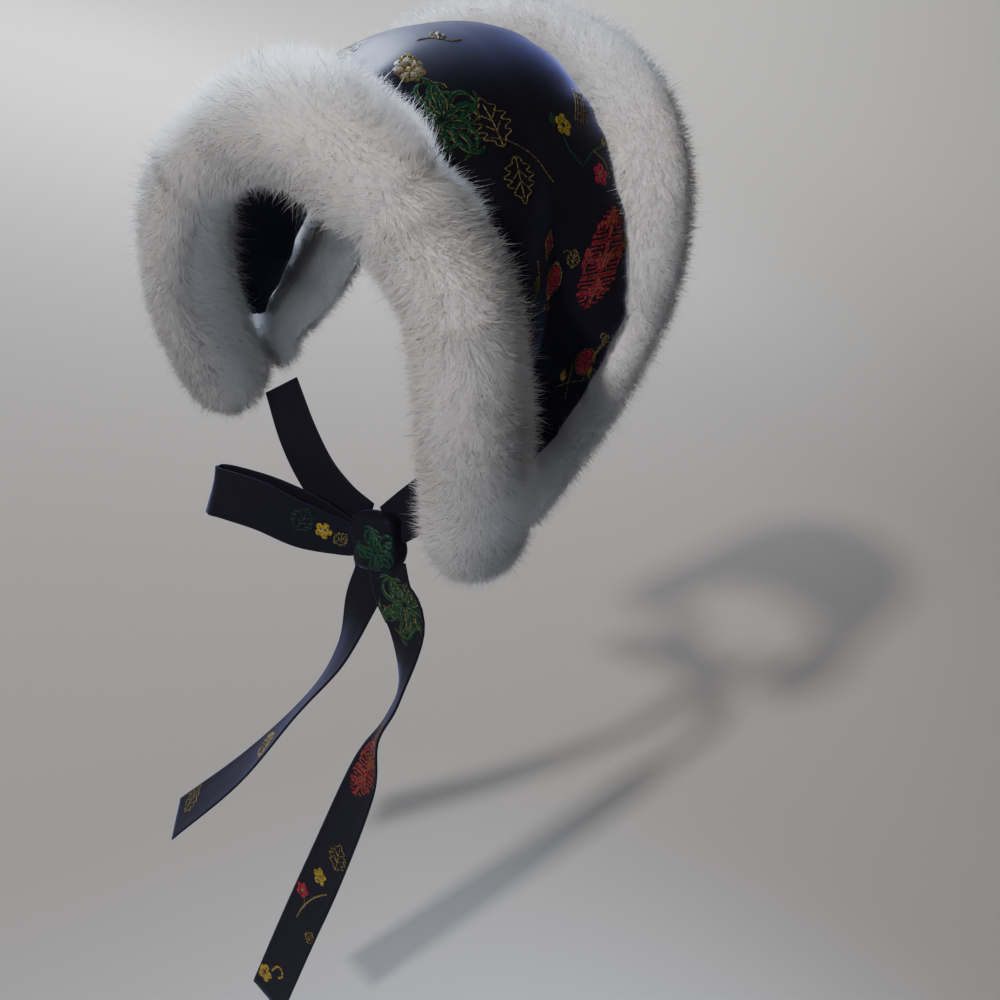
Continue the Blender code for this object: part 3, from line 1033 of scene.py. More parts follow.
class Motifs:
    """The brocade's repeat, each motif drawn flat in millimetres."""

    LINE = 0.55

    def strokes(self, thread: Thread, lines: Sequence[np.ndarray], width: float = LINE) -> list[Stitch]:
        """Lines of one colour."""
        return [Stitch(thread, np.asarray(line, float), width, False) for line in lines]

    def curl(self, reach: float, bend: float, count: int = 9) -> np.ndarray:
        """A line that leaves the origin upward and curls to one side, more and more.

        Args:
            reach: Its length.
            bend: How far it has turned at its end, in degrees.
            count: How many points it has.

        Returns:
            The line.
        """
        t = np.linspace(0, 1, count)
        heading = math.radians(bend) * t**2
        step = reach / (count - 1)
        x = np.cumsum(np.sin(heading)) * step
        y = np.cumsum(np.cos(heading)) * step
        return np.stack((x - x[0], y - y[0]), 1)

    def chrysanthemum(self, radius: float, thread: Thread = Thread.GREEN) -> list[Stitch]:
        """A large bloom of curling petals, each with a gold edge.

        Args:
            radius: Its radius.
            thread: Its colour.

        Returns:
            Its stitches.
        """
        made: list[Stitch] = []
        for ring, (base, reach, count, start) in enumerate((
            (0.34, 0.86, 15, 0), (0.20, 0.62, 12, 14), (0.06, 0.44, 9, 5),
        )):
            for k in range(count):
                angle = start + 360 * k / count
                bend = (150 if (k + ring) % 3 else -120) + 20 * math.sin(k * 1.7)
                uneven = 0.9 + 0.1 * math.cos(k * 2.1)
                line = self.curl(radius * reach * uneven, bend) + (0, radius * base)
                made.append(Stitch(thread, turned(line, angle), radius * 0.105, True))
                edge = line + np.array((radius * 0.06, 0))
                made.append(Stitch(Thread.GOLD, turned(edge, angle), 0.34, False))
        return made

    def leaf(self, reach: float, thread: Thread = Thread.GOLD) -> list[Stitch]:
        """A lobed leaf in outline, with a midrib.

        Args:
            reach: Its length.
            thread: Its colour.

        Returns:
            Its stitches.
        """
        t = np.linspace(0, 1, 27)
        half = reach * 0.36 * np.sin(np.pi * t**0.85) * (1 + 0.34 * np.sin(t * 5.5 * 2 * np.pi))
        rim = np.vstack((np.stack((-half, reach * t), 1), np.stack((half, reach * t), 1)[::-1]))
        ribs = [np.array(((0, 0), (0.3, reach * 0.5), (0, reach * 0.86)))]
        for y in (0.30, 0.52):
            for s in (-1, 1):
                ribs.append(np.array(((0, reach * y), (s * reach * 0.20, reach * (y + 0.16)))))
        return self.strokes(thread, [closed(rim), *ribs])

    def blossom(
        self, radius: float, thread: Thread, petals: int = 5, heart: Thread = Thread.GOLD,
    ) -> list[Stitch]:
        """A small open flower with round petals.

        Args:
            radius: Its radius.
            thread: Its colour.
            petals: How many petals it has.
            heart: Its middle's colour.

        Returns:
            Its stitches.
        """
        made = []
        for k in range(petals):
            rim = circle(radius * 0.40, 10, (0, radius * 0.60), 1.05)
            made.append(Stitch(thread, turned(rim, 360 * k / petals), 0, True))
        made.append(Stitch(heart, circle(radius * 0.24, 8), 0, True))
        return made

    def bud(self, reach: float, thread: Thread) -> list[Stitch]:
        """A teardrop bud in gold outline, with a filled heart."""
        rim = petal(reach, reach * 0.62)
        filling = Stitch(thread, rim * 0.8 + (0, reach * 0.08), 0, True)
        return [filling, *self.strokes(Thread.GOLD, [closed(rim)], 0.45)]

    def medallion(self, radius: float, tall: float) -> list[Stitch]:
        """An oval medallion of red fretwork: nested open squares in six blocks, edged with gold.

        Args:
            radius: Half its width.
            tall: Its height as a share of its width.

        Returns:
            Its stitches.
        """
        made = []
        across, down = radius, radius * tall * 2 / 3
        for block in range(6):
            middle = np.array(((block % 2 - 0.5) * across, (1 - block // 2) * down))
            for ring in range(4):
                inset = 0.46 - 0.125 * ring
                size = np.array((across, down)) * inset
                corners = np.array(((-1, 1), (1, 1), (1, -1), (-1, -1), (-1, 1))) * size
                corners = corners * ((-1) ** (block + ring), (-1) ** (block // 2 + ring))
                corners[-1, 1] *= 0.35
                steps = np.linspace(0, 4, 33)
                path = middle + np.stack([np.interp(steps, range(5), corners[:, k]) for k in (0, 1)], 1)
                inside = ((path / (radius, radius * tall)) ** 2).sum(1) < 1
                for piece in np.split(np.arange(len(path)), np.flatnonzero(np.diff(inside)) + 1):
                    if len(piece) < 2 or not inside[piece[0]]:
                        continue
                    line = path[piece]
                    line = line + np.stack((0.14 * line[:, 1], 0.30 * line[:, 0]), 1)
                    made.append(Stitch(Thread.RED, line, radius * 0.088, False))
                    made.append(Stitch(Thread.GOLD, line + radius * 0.055, 0.10, False))
        return made

    def fret(self, side: float, thread: Thread) -> list[Stitch]:
        """A tall block of paired bars, hooked at their ends, as at the edge of a fretwork panel.

        Args:
            side: Its size.
            thread: Its colour.

        Returns:
            Its stitches.
        """
        made: list[np.ndarray] = []
        for x in (-0.8, -0.5, -0.05, 0.25, 0.7):
            made.append(np.array(((x, -0.9 + 0.2 * x), (x, 0.9 + 0.2 * x))) * side / 2)
        for k, y in enumerate((-0.9, -0.55, -0.2, 0.15, 0.5, 0.85)):
            a, b = ((-0.8, -0.05), (-0.5, 0.25), (0.25, 0.7))[k % 3]
            made.append(np.array(((a, y), (b, y + 0.12))) * side / 2)
        return self.strokes(thread, [line * (0.62, 1.45) for line in made], 0.55)

    def fruit(self, radius: float) -> list[Stitch]:
        """A red fruit with a gold net, a crown, a yellow base and scrolls.

        Args:
            radius: Half the fruit's width.

        Returns:
            Its stitches.
        """
        body = circle(radius, 18, tall=1.3)
        net = [
            turned(np.array(((x, -radius), (x, radius))), slant)
            for x in (-1.2, 0, 1.2)
            for slant in (-28, 28)
        ]
        top, peak, dip = radius * 1.3, radius * 1.75, radius * 1.45
        crown = np.array(((-1.4, top), (-0.9, peak), (0, dip), (0.9, peak), (1.4, top)))
        t = np.linspace(0, 1.6 * np.pi, 12)
        inward = 2.1 - t * 0.28
        curl = np.stack((inward * np.cos(t), inward * np.sin(t)), 1)
        base = np.array(((-2.0, -top), (2.0, -top), (1.4, -top - 2.4), (-1.4, -top - 2.4)))
        low = -top - 4.6
        return [
            Stitch(Thread.RED, body, 0, True),
            *self.strokes(Thread.GOLD, net, 0.35),
            *self.strokes(Thread.GOLD, [closed(body * 1.14), crown]),
            Stitch(Thread.YELLOW, base, 0, True),
            *self.strokes(Thread.GOLD, [curl * (-1, -1) + (-2.6, low), curl * (1, -1) + (2.6, low)], 0.6),
        ]

    def stem(
        self, points: Sequence[tuple[float, float]], thread: Thread, width: float = 0.6,
    ) -> list[Stitch]:
        """A curved stem through a few places.

        Args:
            points: The places.
            thread: Its colour.
            width: Its width.

        Returns:
            Its stitches.
        """
        rows = np.array([(x, y, 0.0) for x, y in points])
        fine = smooth_rows(rows, np.linspace(0, 1, 6 * len(rows)))[:, :2]
        return self.strokes(thread, [fine], width)


@dataclass
class Ribbon:
    """A flat ribbon laid along points, with its width in the directions given."""

    name: str
    points: np.ndarray
    width_directions: np.ndarray
    widths: np.ndarray
    node: str
    held: str
    cut: tuple[float, float]

    def __post_init__(self) -> None:
        """Works out the ribbon's own directions."""
        tangent = unit(np.gradient(self.points, axis=0))
        lean = (self.width_directions * tangent).sum(1, keepdims=True)
        self.across = unit(self.width_directions - lean * tangent)
        self.out = np.cross(tangent, self.across)
        step = np.linalg.norm(np.diff(self.points, axis=0), axis=1)
        self.length = np.r_[0, np.cumsum(step)]

    def build(self, material: bpy.types.Material) -> bpy.types.Object:
        """Builds the ribbon with thin rolled hems.

        Args:
            material: Its finish.

        Returns:
            The ribbon.
        """
        places = np.array((-1, -0.93, -0.86, -0.4, 0, 0.4, 0.86, 0.93, 1.0))
        hem = (HEM_EDGE_SHARE, HEM_SHARE)
        thick = np.array((*hem, *[FACE_SHARE] * 5, *hem[::-1])) * RIBBON_WALL
        over = places[:, None] * (self.widths / 2)
        middle = self.points[:, None] + self.across[:, None] * over.T[:, :, None]
        front = middle + self.out[:, None] * thick[:, None]
        back = middle - self.out[:, None] * thick[:, None]
        rings = np.concatenate((front, back[:, ::-1]), 1)
        made = mesh_object(self.name, rings.reshape(-1, 3), ring_faces(*rings.shape[:2]), material)
        seat(made, self.node, self.node)
        return made

    def cloth(self, along: float, across: float = 0.0, turn: float = 0.0, face: int = 1) -> "RibbonPatch":
        """A place on the ribbon to stitch on, at a share of its length and of its half width."""
        return RibbonPatch(self, along * self.length[-1], across, math.radians(turn), face)


@dataclass
class RibbonPatch:
    """Flat points in millimetres laid on a ribbon's face."""

    ribbon: Ribbon
    middle: float
    across: float
    turn: float
    face: int

    def lay(self, flat: np.ndarray, lift: float) -> np.ndarray:
        """Lays flat points on the ribbon.

        Args:
            flat: Points in millimetres, right and up of the patch's middle.
            lift: How far above the ribbon, in metres.

        Returns:
            The points.
        """
        flat = turned(np.asarray(flat, float), math.degrees(self.turn)) * MILLIMETRE
        ribbon = self.ribbon
        along = np.clip(self.middle - flat[:, 1], 0, ribbon.length[-1])
        centre, across, out = (
            np.stack([np.interp(along, ribbon.length, table[:, k]) for k in range(3)], 1)
            for table in (ribbon.points, ribbon.across, ribbon.out)
        )
        half = np.interp(along, ribbon.length, ribbon.widths) / 2
        hem = half * 0.92
        over = np.clip(self.across * half + flat[:, 0] * self.face, -hem, hem)
        out = unit(out) * self.face
        return centre + unit(across) * over[:, None] + out * (RIBBON_WALL * FACE_SHARE + lift)


def knot_point(side: float, back: float, up: float) -> np.ndarray:
    """A place on the tilted knot, from its middle, in metres along its own axes.

    Args:
        side: Toward the wearer's left.
        back: Backward.
        up: Upward.

    Returns:
        The place.
    """
    tilt = math.radians(KNOT_TILT)
    across = side * math.cos(tilt) - up * math.sin(tilt)
    height = side * math.sin(tilt) + up * math.cos(tilt)
    return np.array((KNOT_SIDE, -KNOT_FORWARD, -HEAD_HEIGHT - KNOT_DROP)) + (across, back, height)


@dataclass
class Ties:
    """The ties, the knot, the loop and the two tails."""

    front: FurRoll
    stations: int = 90

    def hanging(
        self, name: str, sections: Sequence[RibbonSection], reach: float, start: np.ndarray,
        upright: bool, held: str,
    ) -> Ribbon:
        """A ribbon whose sections are shares of its reach, turned about the vertical.

        Args:
            name: The node that it stands for.
            sections: Its table.
            reach: The size that the table's shares are of, in metres.
            start: Where it leaves the knot.
            upright: Whether its width stands up instead of lying sideways.
            held: How the cloth is held.

        Returns:
            The ribbon.
        """
        rows = np.array([
            (s.side * reach, -s.forward * reach, -s.drop * reach, math.radians(s.turn), s.width)
            for s in sections
        ])
        rows = smooth_rows(rows, even_shares(rows, self.stations))
        turn = rows[:, 3]
        sideways = np.stack((np.cos(turn), -np.sin(turn), np.zeros(len(turn))), 1)
        standing = np.stack((np.sin(turn), np.zeros(len(turn)), np.cos(turn)), 1)
        points = start + rows[:, :3]
        length = float(np.linalg.norm(np.diff(points, axis=0), axis=1).sum())
        widths = rows[:, 4] * RIBBON_WIDTH
        cut = (float(widths.mean()), length)
        return Ribbon(f"{name}_ribbon", points, standing if upright else sideways, widths, name, held, cut)

    def tie(self, name: str, sections: Sequence[TieSection], side: int) -> Ribbon:
        """The ribbon from one cheek flap's inner face to the knot's nearer upper corner.

        Args:
            name: The node that it stands for.
            sections: Its table.
            side: 1 for the wearer's left and -1 for the right.

        Returns:
            The ribbon.
        """
        centre, _, outward, _, _, _, seat_depth, _ = self.front.at(np.array([0.93]))
        flap = (centre[0] - outward[0] * (seat_depth[0] + RIBBON_WIDTH * 0.35)) * (side, 1, 1)
        rounding = KNOT_DEPTH * 0.3 * 0.29 - SEAM_GAP
        tuck = 0.007
        corner = knot_point(
            side * (KNOT_WIDTH / 2 - rounding - tuck), KNOT_DEPTH * 0.1, KNOT_HEIGHT / 2 - rounding - tuck
        )
        way = corner - flap
        rows = np.array([
            (*(flap + way * s.along - np.array((0, 0, s.sag)) * np.linalg.norm(way)), s.width)
            for s in sections
        ])
        rows = smooth_rows(rows, even_shares(rows, self.stations // 2))
        across = np.cross(np.gradient(rows[:, :3], axis=0), (0, 1, 0))
        length = float(np.linalg.norm(np.diff(rows[:, :3], axis=0), axis=1).sum())
        widths = rows[:, 3] * RIBBON_WIDTH
        cut = (float(widths.mean()), length)
        return Ribbon(f"{name}_ribbon", rows[:, :3], across, widths, name, "stretched", cut)

    def knot(
        self, material: bpy.types.Material, threads: dict[Thread, bpy.types.Material],
    ) -> bpy.types.Object:
        """The flattened knot: a soft block with a slanting wrap, folds and part of a woven bloom.

        Args:
            material: The cloth's finish.
            threads: The threads' finishes.

        Returns:
            The knot.
        """
        rows, around = 26, 44
        vertices = []
        for i in range(rows):
            v = -1 + 2 * i / (rows - 1)
            for j in range(around):
                a = 2 * math.pi * j / around
                c, s = math.cos(a), math.sin(a)
                square = (abs(c) ** 4 + abs(s) ** 4) ** -0.25
                cap = (1 - abs(v) ** 5) ** 0.35 if abs(v) < 1 else 0.0
                wrap = 0.05 * math.cos(math.pi * (v * 1.6 + 0.6 * c))
                fold = 1 + 0.035 * math.sin(9 * c + 3.0 * v) + wrap
                x = c * square * KNOT_WIDTH / 2 * 0.97 * cap * fold
                y = s * square * KNOT_DEPTH / 2 * 0.97 * cap * fold
                vertices.append(knot_point(x, y, v * KNOT_HEIGHT / 2))
        faces = ring_faces(rows, around, False)
        made = mesh_object("knot_folds", np.array(vertices), faces, material)
        tree = BVHTree.FromPolygons([tuple(v) for v in vertices], faces)
        right = unit(knot_point(1, 0, 0) - knot_point(0, 0, 0))
        up = unit(knot_point(0, 0, 1) - knot_point(0, 0, 0))
        front = knot_point(0.004, -KNOT_DEPTH / 2, -0.004)
        bloom = [stitch for stitch in Motifs().chrysanthemum(15.0) if stitch.thread is Thread.GREEN]
        work = Embroidery("knot_thread", "knot")
        work.add(ClothPatch(tree, front, right, up, np.cross(right, up)), bloom)
        work.build(threads)
        return seat(made, "knot", "knot")

    def build(self, material: bpy.types.Material, threads: dict[Thread, bpy.types.Material]) -> None:
        """Builds every ribbon and its motifs.

        Args:
            material: The cloth's finish.
            threads: The threads' finishes.
        """
        below = -KNOT_HEIGHT / 2 + 0.005
        short_start = knot_point(-KNOT_WIDTH / 4, KNOT_DEPTH * 0.2, below)
        long_start = knot_point(KNOT_WIDTH / 4, -KNOT_DEPTH * 0.2, below)
        loop_start = knot_point(-KNOT_WIDTH / 2 + 0.003, 0, 0)
        short = self.hanging("tail_short", SHORT_TAIL_SECTIONS, SHORT_TAIL_DROP, short_start, False, "hung")
        long = self.hanging("tail_long", LONG_TAIL_SECTIONS, LONG_TAIL_DROP, long_start, False, "hung")
        loop = self.hanging("bow_loop", LOOP_SECTIONS, LOOP_REACH, loop_start, True, "folded")
        left = self.tie("tie_left", LEFT_TIE_SECTIONS, 1)
        right = self.tie("tie_right", RIGHT_TIE_SECTIONS, -1)
        for ribbon in (short, long, loop, left, right):
            ribbon.build(material)
        self.knot(material, threads)
        draw = Motifs()
        self.sew("tail_long", threads, (
            (long.cloth(0.075, 0.3), draw.chrysanthemum(21.0)),
            (long.cloth(0.362, 0.20), draw.medallion(12.5, 2.2)),
            (long.cloth(0.655, -0.05, 20), draw.blossom(5.4, Thread.YELLOW)),
            (long.cloth(0.715, -0.55), draw.blossom(5.0, Thread.RED)),
            (long.cloth(0.725, 0.10), draw.stem(((-5, -16), (-4, -6), (0, 6), (7, 17)), Thread.GOLD, 1.0)),
            (long.cloth(0.725, -0.20), draw.stem(((-5, 5), (-2, 2), (1, -6)), Thread.GOLD, 0.8)),
            (long.cloth(0.61, 0.50, 10), draw.leaf(17)),
            (long.cloth(0.80, 0.72), draw.leaf(9)),
            (long.cloth(0.955, -0.62), draw.blossom(6.2, Thread.YELLOW, 5, Thread.MAGENTA)),
            (
                long.cloth(0.925, 0.05),
                draw.stem(((-5, -3), (-3, 3), (1, 4), (3, 0), (1, -3)), Thread.YELLOW, 1.4),
            ),
        ))
        self.sew("tail_short", threads, (
            (short.cloth(0.60, 0.1), draw.leaf(19)),
            (short.cloth(0.955, 0.0, 40), draw.leaf(19)),
        ))
        self.sew("bow_loop", threads, (
            (loop.cloth(0.095, 0.1, 0, -1), draw.blossom(4.8, Thread.YELLOW, 5, Thread.WHITE)),
            (loop.cloth(0.175, -0.25, 70, -1), draw.leaf(15, Thread.GREEN)),
            (loop.cloth(0.06, -0.35, 40, -1), draw.leaf(9, Thread.GOLD)),
        ))

    def sew(
        self, node: str, threads: dict[Thread, bpy.types.Material],
        motifs: Sequence[tuple[RibbonPatch, list[Stitch]]],
    ) -> None:
        """Sews a ribbon's motifs on it.

        Args:
            node: The ribbon's node, which names the threads' pieces and slot.
            threads: The threads' finishes.
            motifs: Each motif's place and stitches.
        """
        work = Embroidery(f"{node}_thread", node)
        for patch, stitches in motifs:
            work.add(patch, stitches)
        work.build(threads)


class Motif(Enum):
    """The motifs of the band's repeat."""

    CHRYSANTHEMUM = "chrysanthemum"
    CROWN_BLOSSOM = "crown_blossom"
    CROWN_SPRIG = "crown_sprig"
    LEAF_UPPER = "leaf_upper"
    LEAF_LOWER = "leaf_lower"
    LONG_STEM = "long_stem"
    SPRIG = "sprig"
    FRET = "fret"
    BRANCH = "branch"
    RED_BLOSSOM = "red_blossom"
    MEDALLION = "medallion"
    DIAMOND = "diamond"
    FRUIT = "fruit"
    GOLD_BRANCH = "gold_branch"
    GOLD_BUD = "gold_bud"
    REAR_BUD = "rear_bud"
    LOW_FRUIT = "low_fruit"
    BANNER = "banner"
    LOW_BUDS = "low_buds"
    EDGE_MARKS = "edge_marks"


class Placing(NamedTuple):
    """Where a motif lies on the near half of the band, and again mirrored on the far half."""

    motif: Motif
    along: float
    across: float
    turn: float


class Repeat:
    """The motifs of the band in their places."""

    PLACES = (
        Placing(Motif.CHRYSANTHEMUM, 0.150, 0.125, 36),
        Placing(Motif.CROWN_BLOSSOM, 0.045, 0.172, 40),
        Placing(Motif.CROWN_SPRIG, 0.016, 0.360, 40),
        Placing(Motif.LEAF_UPPER, 0.236, 0.292, 2),
        Placing(Motif.LEAF_LOWER, 0.256, 0.330, 190),
        Placing(Motif.LONG_STEM, 0.258, 0.352, 26),
        Placing(Motif.SPRIG, 0.236, 0.667, 12),
        Placing(Motif.FRET, 0.212, 0.850, 24),
        Placing(Motif.BRANCH, 0.300, 0.860, 12),
        Placing(Motif.RED_BLOSSOM, 0.335, 0.860, 12),
        Placing(Motif.MEDALLION, 0.471, 0.816, 12),
        Placing(Motif.DIAMOND, 0.408, 0.456, 25),
        Placing(Motif.FRUIT, 0.480, 0.500, 20),
        Placing(Motif.GOLD_BRANCH, 0.480, 0.280, 27),
        Placing(Motif.GOLD_BUD, 0.469, 0.631, 10),
        Placing(Motif.REAR_BUD, 0.470, 0.985, 15),
        Placing(Motif.LOW_FRUIT, 0.707, 0.832, -40),
        Placing(Motif.BANNER, 0.667, 0.900, -40),
        Placing(Motif.LOW_BUDS, 0.760, 0.830, -20),
        Placing(Motif.EDGE_MARKS, 0.880, 0.720, -20),
    )
    SEAM_SHARE = 0.1

    def __init__(self) -> None:
        """Draws every motif once, in millimetres about its own place."""
        draw = Motifs()
        self.draw = draw
        self.drawn: dict[Motif, list[Stitch]] = {
            Motif.CHRYSANTHEMUM: draw.chrysanthemum(21),
            Motif.CROWN_BLOSSOM: [*draw.blossom(6.5, Thread.TAN, 7), *draw.leaf(9, Thread.YELLOW)],
            Motif.CROWN_SPRIG: self.crown_sprig(),
            Motif.LEAF_UPPER: draw.leaf(21),
            Motif.LEAF_LOWER: draw.leaf(19),
            Motif.LONG_STEM: draw.stem(((-22, 3), (-8, 5), (8, 2), (21, -6)), Thread.GOLD, 0.45),
            Motif.SPRIG: self.sprig(),
            Motif.FRET: draw.fret(17, Thread.TAN),
            Motif.BRANCH: self.branch(),
            Motif.RED_BLOSSOM: draw.blossom(5.0, Thread.RED),
            Motif.MEDALLION: draw.medallion(11.0, 2.15),
            Motif.DIAMOND: self.diamond(),
            Motif.FRUIT: draw.fruit(4.8),
            Motif.GOLD_BRANCH: self.gold_branch(),
            Motif.GOLD_BUD: [*draw.leaf(8), *draw.stem(((-6, 6), (-3, 7), (0, 4)), Thread.GOLD, 0.5)],
            Motif.REAR_BUD: draw.bud(7, Thread.TAN),
            Motif.LOW_FRUIT: self.low_fruit(),
            Motif.BANNER: self.banner(),
            Motif.LOW_BUDS: self.low_buds(),
            Motif.EDGE_MARKS: self.edge_marks(),
        }

    def crown_sprig(self) -> list[Stitch]:
        """A short stem with a tan leaf, on top of the crown."""
        stem = self.draw.stem(((-9, -2), (-2, 1), (5, 0), (10, 3)), Thread.GOLD)
        return [*stem, *self.draw.leaf(8, Thread.TAN)]

    def sprig(self) -> list[Stitch]:
        """A yellow blossom with a green leaf and stem."""
        flower = self.draw.blossom(5.0, Thread.YELLOW, 5, Thread.GREEN)
        leaf = Stitch(Thread.GREEN, petal(7, 3.4) + (-7, -3), 0, True)
        return [*flower, leaf, *self.draw.stem(((-1, -5), (3, -11), (10, -16)), Thread.GREEN, 0.9)]

    def branch(self) -> list[Stitch]:
        """A green branch with a leaning yellow bud and a gold twig.

        Returns:
            Its stitches.
        """
        bud = [
            Stitch(stitch.thread, turned(stitch.points, -30) + (5, 5), stitch.width, stitch.filled)
            for stitch in self.draw.bud(5, Thread.YELLOW)
        ]
        green = self.draw.stem(((-8, -8), (-2, 0), (4, 4), (9, 12)), Thread.GREEN, 0.9)
        return [*green, *bud, *self.draw.stem(((-2, 0), (5, -3), (9, -9)), Thread.GOLD)]

    def diamond(self) -> list[Stitch]:
        """A small red diamond edged with gold."""
        rim = np.array(((0, 5), (2.6, 0), (0, -5), (-2.6, 0)))
        return [Stitch(Thread.RED, rim, 0, True), *self.draw.strokes(Thread.GOLD, [closed(rim * 1.25)])]

    def gold_branch(self) -> list[Stitch]:
        """A gold branch with a leaf and a red stalk."""
        gold = self.draw.stem(((2, -20), (-2, -8), (2, 2), (-2, 12)), Thread.GOLD)
        return [*gold, *self.draw.stem(((5, -28), (6, -16)), Thread.RED, 1.1), *self.draw.leaf(6)]

    def low_fruit(self) -> list[Stitch]:
        """A leaning red fruit with a gold net, three legs and a long needle.

        Returns:
            Its stitches.
        """
        reach, lean = 4.6, -35
        rim = turned(circle(reach, 16, tall=1.25), lean)
        net = [
            turned(np.array(((x, -reach), (x, reach))), lean + slant)
            for x in (-2.4, 0, 2.4)
            for slant in (-35, 35)
        ]
        legs = [np.array(((-1, -5), (-3, -9))), np.array(((1, -5), (1, -10))), np.array(((3, -4), (5, -8)))]
        needle = np.array(((-6, 2), (-13, -14)))
        return [
            Stitch(Thread.RED, rim, 0, True),
            *self.draw.strokes(Thread.GOLD, [closed(rim * 1.12), *net], 0.4),
            *self.draw.strokes(Thread.GOLD, [*legs, needle], 0.5),
        ]

    def banner(self) -> list[Stitch]:
        """Curling tan ribbons with gold curls, above the low fruit.

        Returns:
            Its stitches.
        """
        curl = self.draw.curl(9, 250)
        return [
            *self.draw.strokes(Thread.TAN, [curl, turned(curl, 40) * (-1, 1) + (1, 1)], 0.9),
            *self.draw.strokes(Thread.GOLD, [turned(curl, -70), turned(curl * 0.7, 110) * (1, -1)], 0.5),
            *self.draw.stem(((-8, -5), (-3, -2), (1, 0)), Thread.TAN, 1.6),
        ]

    def low_buds(self) -> list[Stitch]:
        """Two yellow petals on a gold twig."""
        petals = [
            Stitch(Thread.YELLOW, petal(reach, 3) + place, 0, True)
            for reach, place in ((6, (-6, 0)), (5, (7, 3)))
        ]
        return [*petals, *self.draw.stem(((-9, -3), (-2, 0), (6, 1)), Thread.GOLD)]

    def edge_marks(self) -> list[Stitch]:
        """Two small yellow petals at the front fur."""
        return [Stitch(Thread.YELLOW, petal(4, 2.2) + place, 0, True) for place in ((-5, 6), (-4, -6))]

    def sew(self, band: CrownBand, threads: dict[Thread, bpy.types.Material]) -> None:
        """Sews every motif on both halves of the band.

        Args:
            band: The band.
            threads: The threads' finishes.
        """
        work = Embroidery("crown_thread", "crown_band")
        for place in self.PLACES:
            stitches = self.drawn[place.motif]
            work.add(band.cloth(place.along, place.across, place.turn), stitches)
            if place.along > self.SEAM_SHARE:
                work.add(band.cloth(-place.along, place.across, -place.turn), stitches)
        work.build(threads)


class Lamp(NamedTuple):
    """A square soft light: its direction from its aim, and its size, power, colour and beam."""

    name: str
    toward: tuple[float, float, float]
    distance: float
    size: float
    power: float
    colour: tuple[float, float, float]
    spread: float
    aim: tuple[float, float, float]


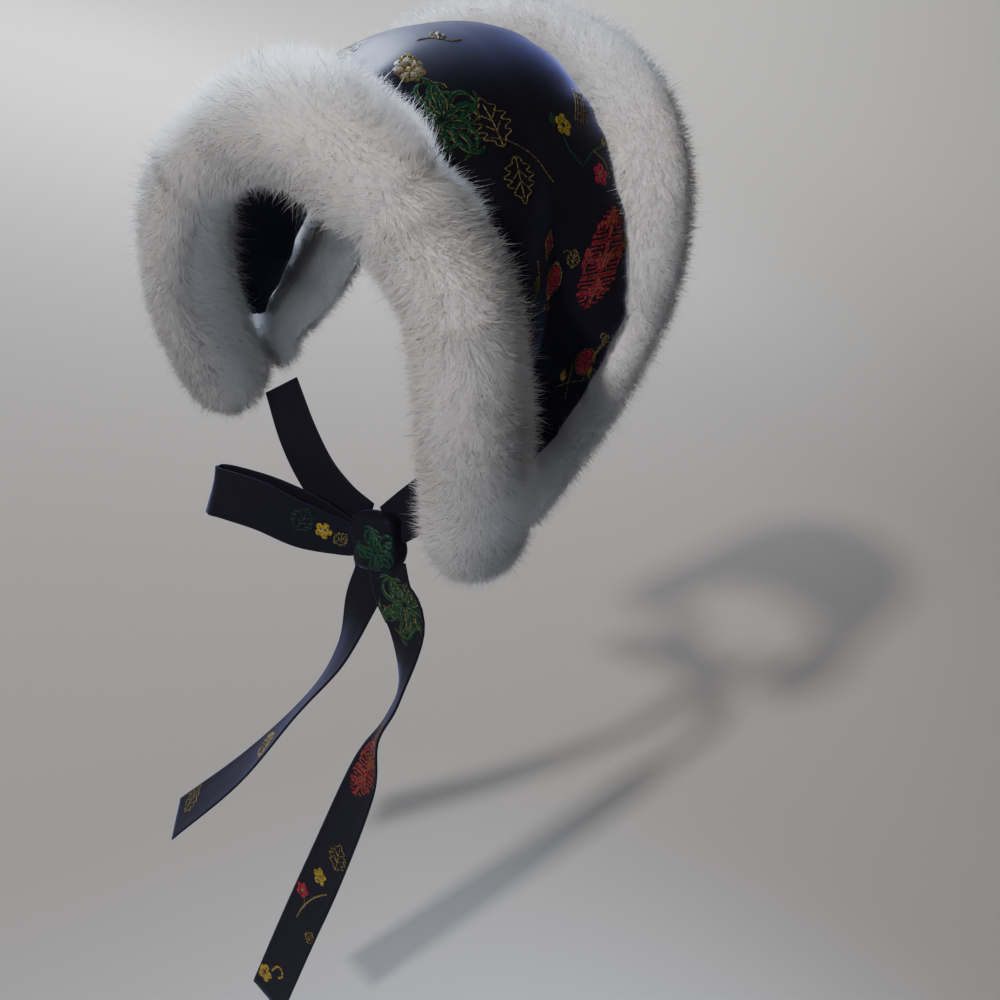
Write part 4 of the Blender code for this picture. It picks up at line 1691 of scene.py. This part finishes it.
@dataclass
class Studio:
    """The photograph's view, with a pale floor and soft light."""

    LAMPS = (
        Lamp("key", (-0.88, 0.22, 0.60), 1.0, 0.6, 3.8, (0.70, 0.80, 1.0), 26, (-0.05, 0.0, 0.03)),
        Lamp("cast", (-0.10, -1.0, 0.48), 6.0, 0.36, 10.5, (1.0, 0.95, 0.90), 40, (0.02, -0.02, -0.15)),
        Lamp("wash", (0.0, -1.0, 0.62), 5.0, 3.0, 135, (1.0, 0.985, 0.97), 180, (-3.0, 8.2, 0.3)),
        Lamp("glow", (0.0, 0.0, 1.0), 2.4, 2.4, 64, (0.99, 0.985, 1.0), 110, (-2.7, 1.7, FLOOR_LEVEL)),
    )

    place: tuple[float, float, float] = (0.270607, -0.400489, 0.022307)
    right: tuple[float, float, float] = (0.77852981, 0.53350074, 0.33055755)
    up: tuple[float, float, float] = (-0.49944938, 0.20770815, 0.84107529)
    back: tuple[float, float, float] = (0.38005479, -0.81989895, 0.4281636)
    lens: float = 36.57

    def camera(self) -> None:
        """Sets the camera where the photograph was taken from."""
        camera = bpy.data.objects.new("camera", bpy.data.cameras.new("camera"))
        bpy.context.scene.collection.objects.link(camera)
        pose = Matrix((self.right, self.up, self.back)).transposed().to_4x4()
        pose.translation = self.place
        camera.matrix_world = pose
        camera.data.lens = self.lens
        camera.data.sensor_width = 36
        camera.data.clip_start = 0.01
        bpy.context.scene.camera = camera

    def floor(self) -> None:
        """A pale floor with a low curved rim far behind the object, all round."""
        flat, rim, wall_top = 4.0, 5.5, 6.5
        profile = [(0.5, 0.0), (2.0, 0.0), (flat, 0.0)]
        profile += [
            (flat + rim * math.sin(a), rim - rim * math.cos(a)) for a in np.linspace(0.05, math.pi / 2, 30)
        ]
        profile += [(flat + rim, wall_top)]
        around = 72
        turns = [2 * math.pi * k / around for k in range(around)]
        vertices = [(r * math.cos(a), r * math.sin(a), FLOOR_LEVEL + z) for r, z in profile for a in turns]
        faces = [tuple(range(around))]
        for i in range(len(profile) - 1):
            for k in range(around):
                m = (k + 1) % around
                faces.append((i * around + m, i * around + k, (i + 1) * around + k, (i + 1) * around + m))
        material = bpy.data.materials.new("pale_floor")
        material.use_nodes = True
        surface = material.node_tree.nodes["Principled BSDF"]
        surface.inputs["Base Color"].default_value = (0.78, 0.775, 0.77, 1)
        surface.inputs["Roughness"].default_value = 0.9
        surface.inputs["Specular IOR Level"].default_value = 0.1
        mesh_object("floor", np.array(vertices), faces, material)

    def hang(self, lamp: Lamp) -> None:
        """Hangs a square soft light.

        Args:
            lamp: The light.
        """
        data = bpy.data.lights.new(lamp.name, "AREA")
        data.energy = lamp.power
        data.size = lamp.size
        data.color = lamp.colour
        data.spread = math.radians(lamp.spread)
        made = bpy.data.objects.new(lamp.name, data)
        bpy.context.scene.collection.objects.link(made)
        toward = Vector(lamp.toward)
        made.location = Vector(lamp.aim) + toward.normalized() * lamp.distance
        made.rotation_euler = toward.to_track_quat("Z", "Y").to_euler()

    def build(self) -> None:
        """Sets the camera, the floor, the sky and the lights."""
        self.camera()
        self.floor()
        world = bpy.context.scene.world or bpy.data.worlds.new("sky")
        bpy.context.scene.world = world
        world.use_nodes = True
        sky = world.node_tree.nodes["Background"]
        sky.inputs["Color"].default_value = (1.0, 0.975, 0.95, 1)
        sky.inputs["Strength"].default_value = 0.06
        for lamp in self.LAMPS:
            self.hang(lamp)


def main() -> None:
    """Builds every part of the dressed ear warmer in order."""
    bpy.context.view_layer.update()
    Studio().build()
    pile = FurFinish().material()
    satin = SatinFinish().material()
    threads = {thread: ThreadFinish(thread).material() for thread in Thread}
    front = FurRoll(FRONT_SECTIONS, FRONT_FUR_WIDTH, FRONT_FUR_RISE, True, BROW_CREASE)
    rear = FurRoll(REAR_SECTIONS, REAR_FUR_WIDTH, REAR_FUR_RISE, False)
    hairs = HAIRS
    coats = (
        FurCoat("brow_fur", front, 0.0, 0.40, (-1, 1), hairs, 11, "front_fur_trim"),
        FurCoat("left_cheek_fur", front, 0.38, 1.0, (1,), hairs, 12, "front_fur_trim"),
        FurCoat("right_cheek_fur", front, 0.38, 1.0, (-1,), hairs, 13, "front_fur_trim"),
        FurCoat("left_rear_fur", rear, 0.0, 1.0, (1,), hairs, 14, "rear_fur_trim"),
        FurCoat("right_rear_fur", rear, 0.0, 1.0, (-1,), hairs, 15, "rear_fur_trim"),
    )
    coats[0].leather("front_fur_leather", pile, "front_fur_trim")
    coats[3].leather("rear_fur_leather", pile, "rear_fur_trim")
    for coat in coats:
        coat.grow(pile)
    band = CrownBand(front, rear)
    band.build(satin)
    Repeat().sew(band, threads)
    Ties(front).build(satin, threads)


if __name__ == "__main__":
    logging.basicConfig(level=logging.INFO, format="%(message)s")
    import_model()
    main()
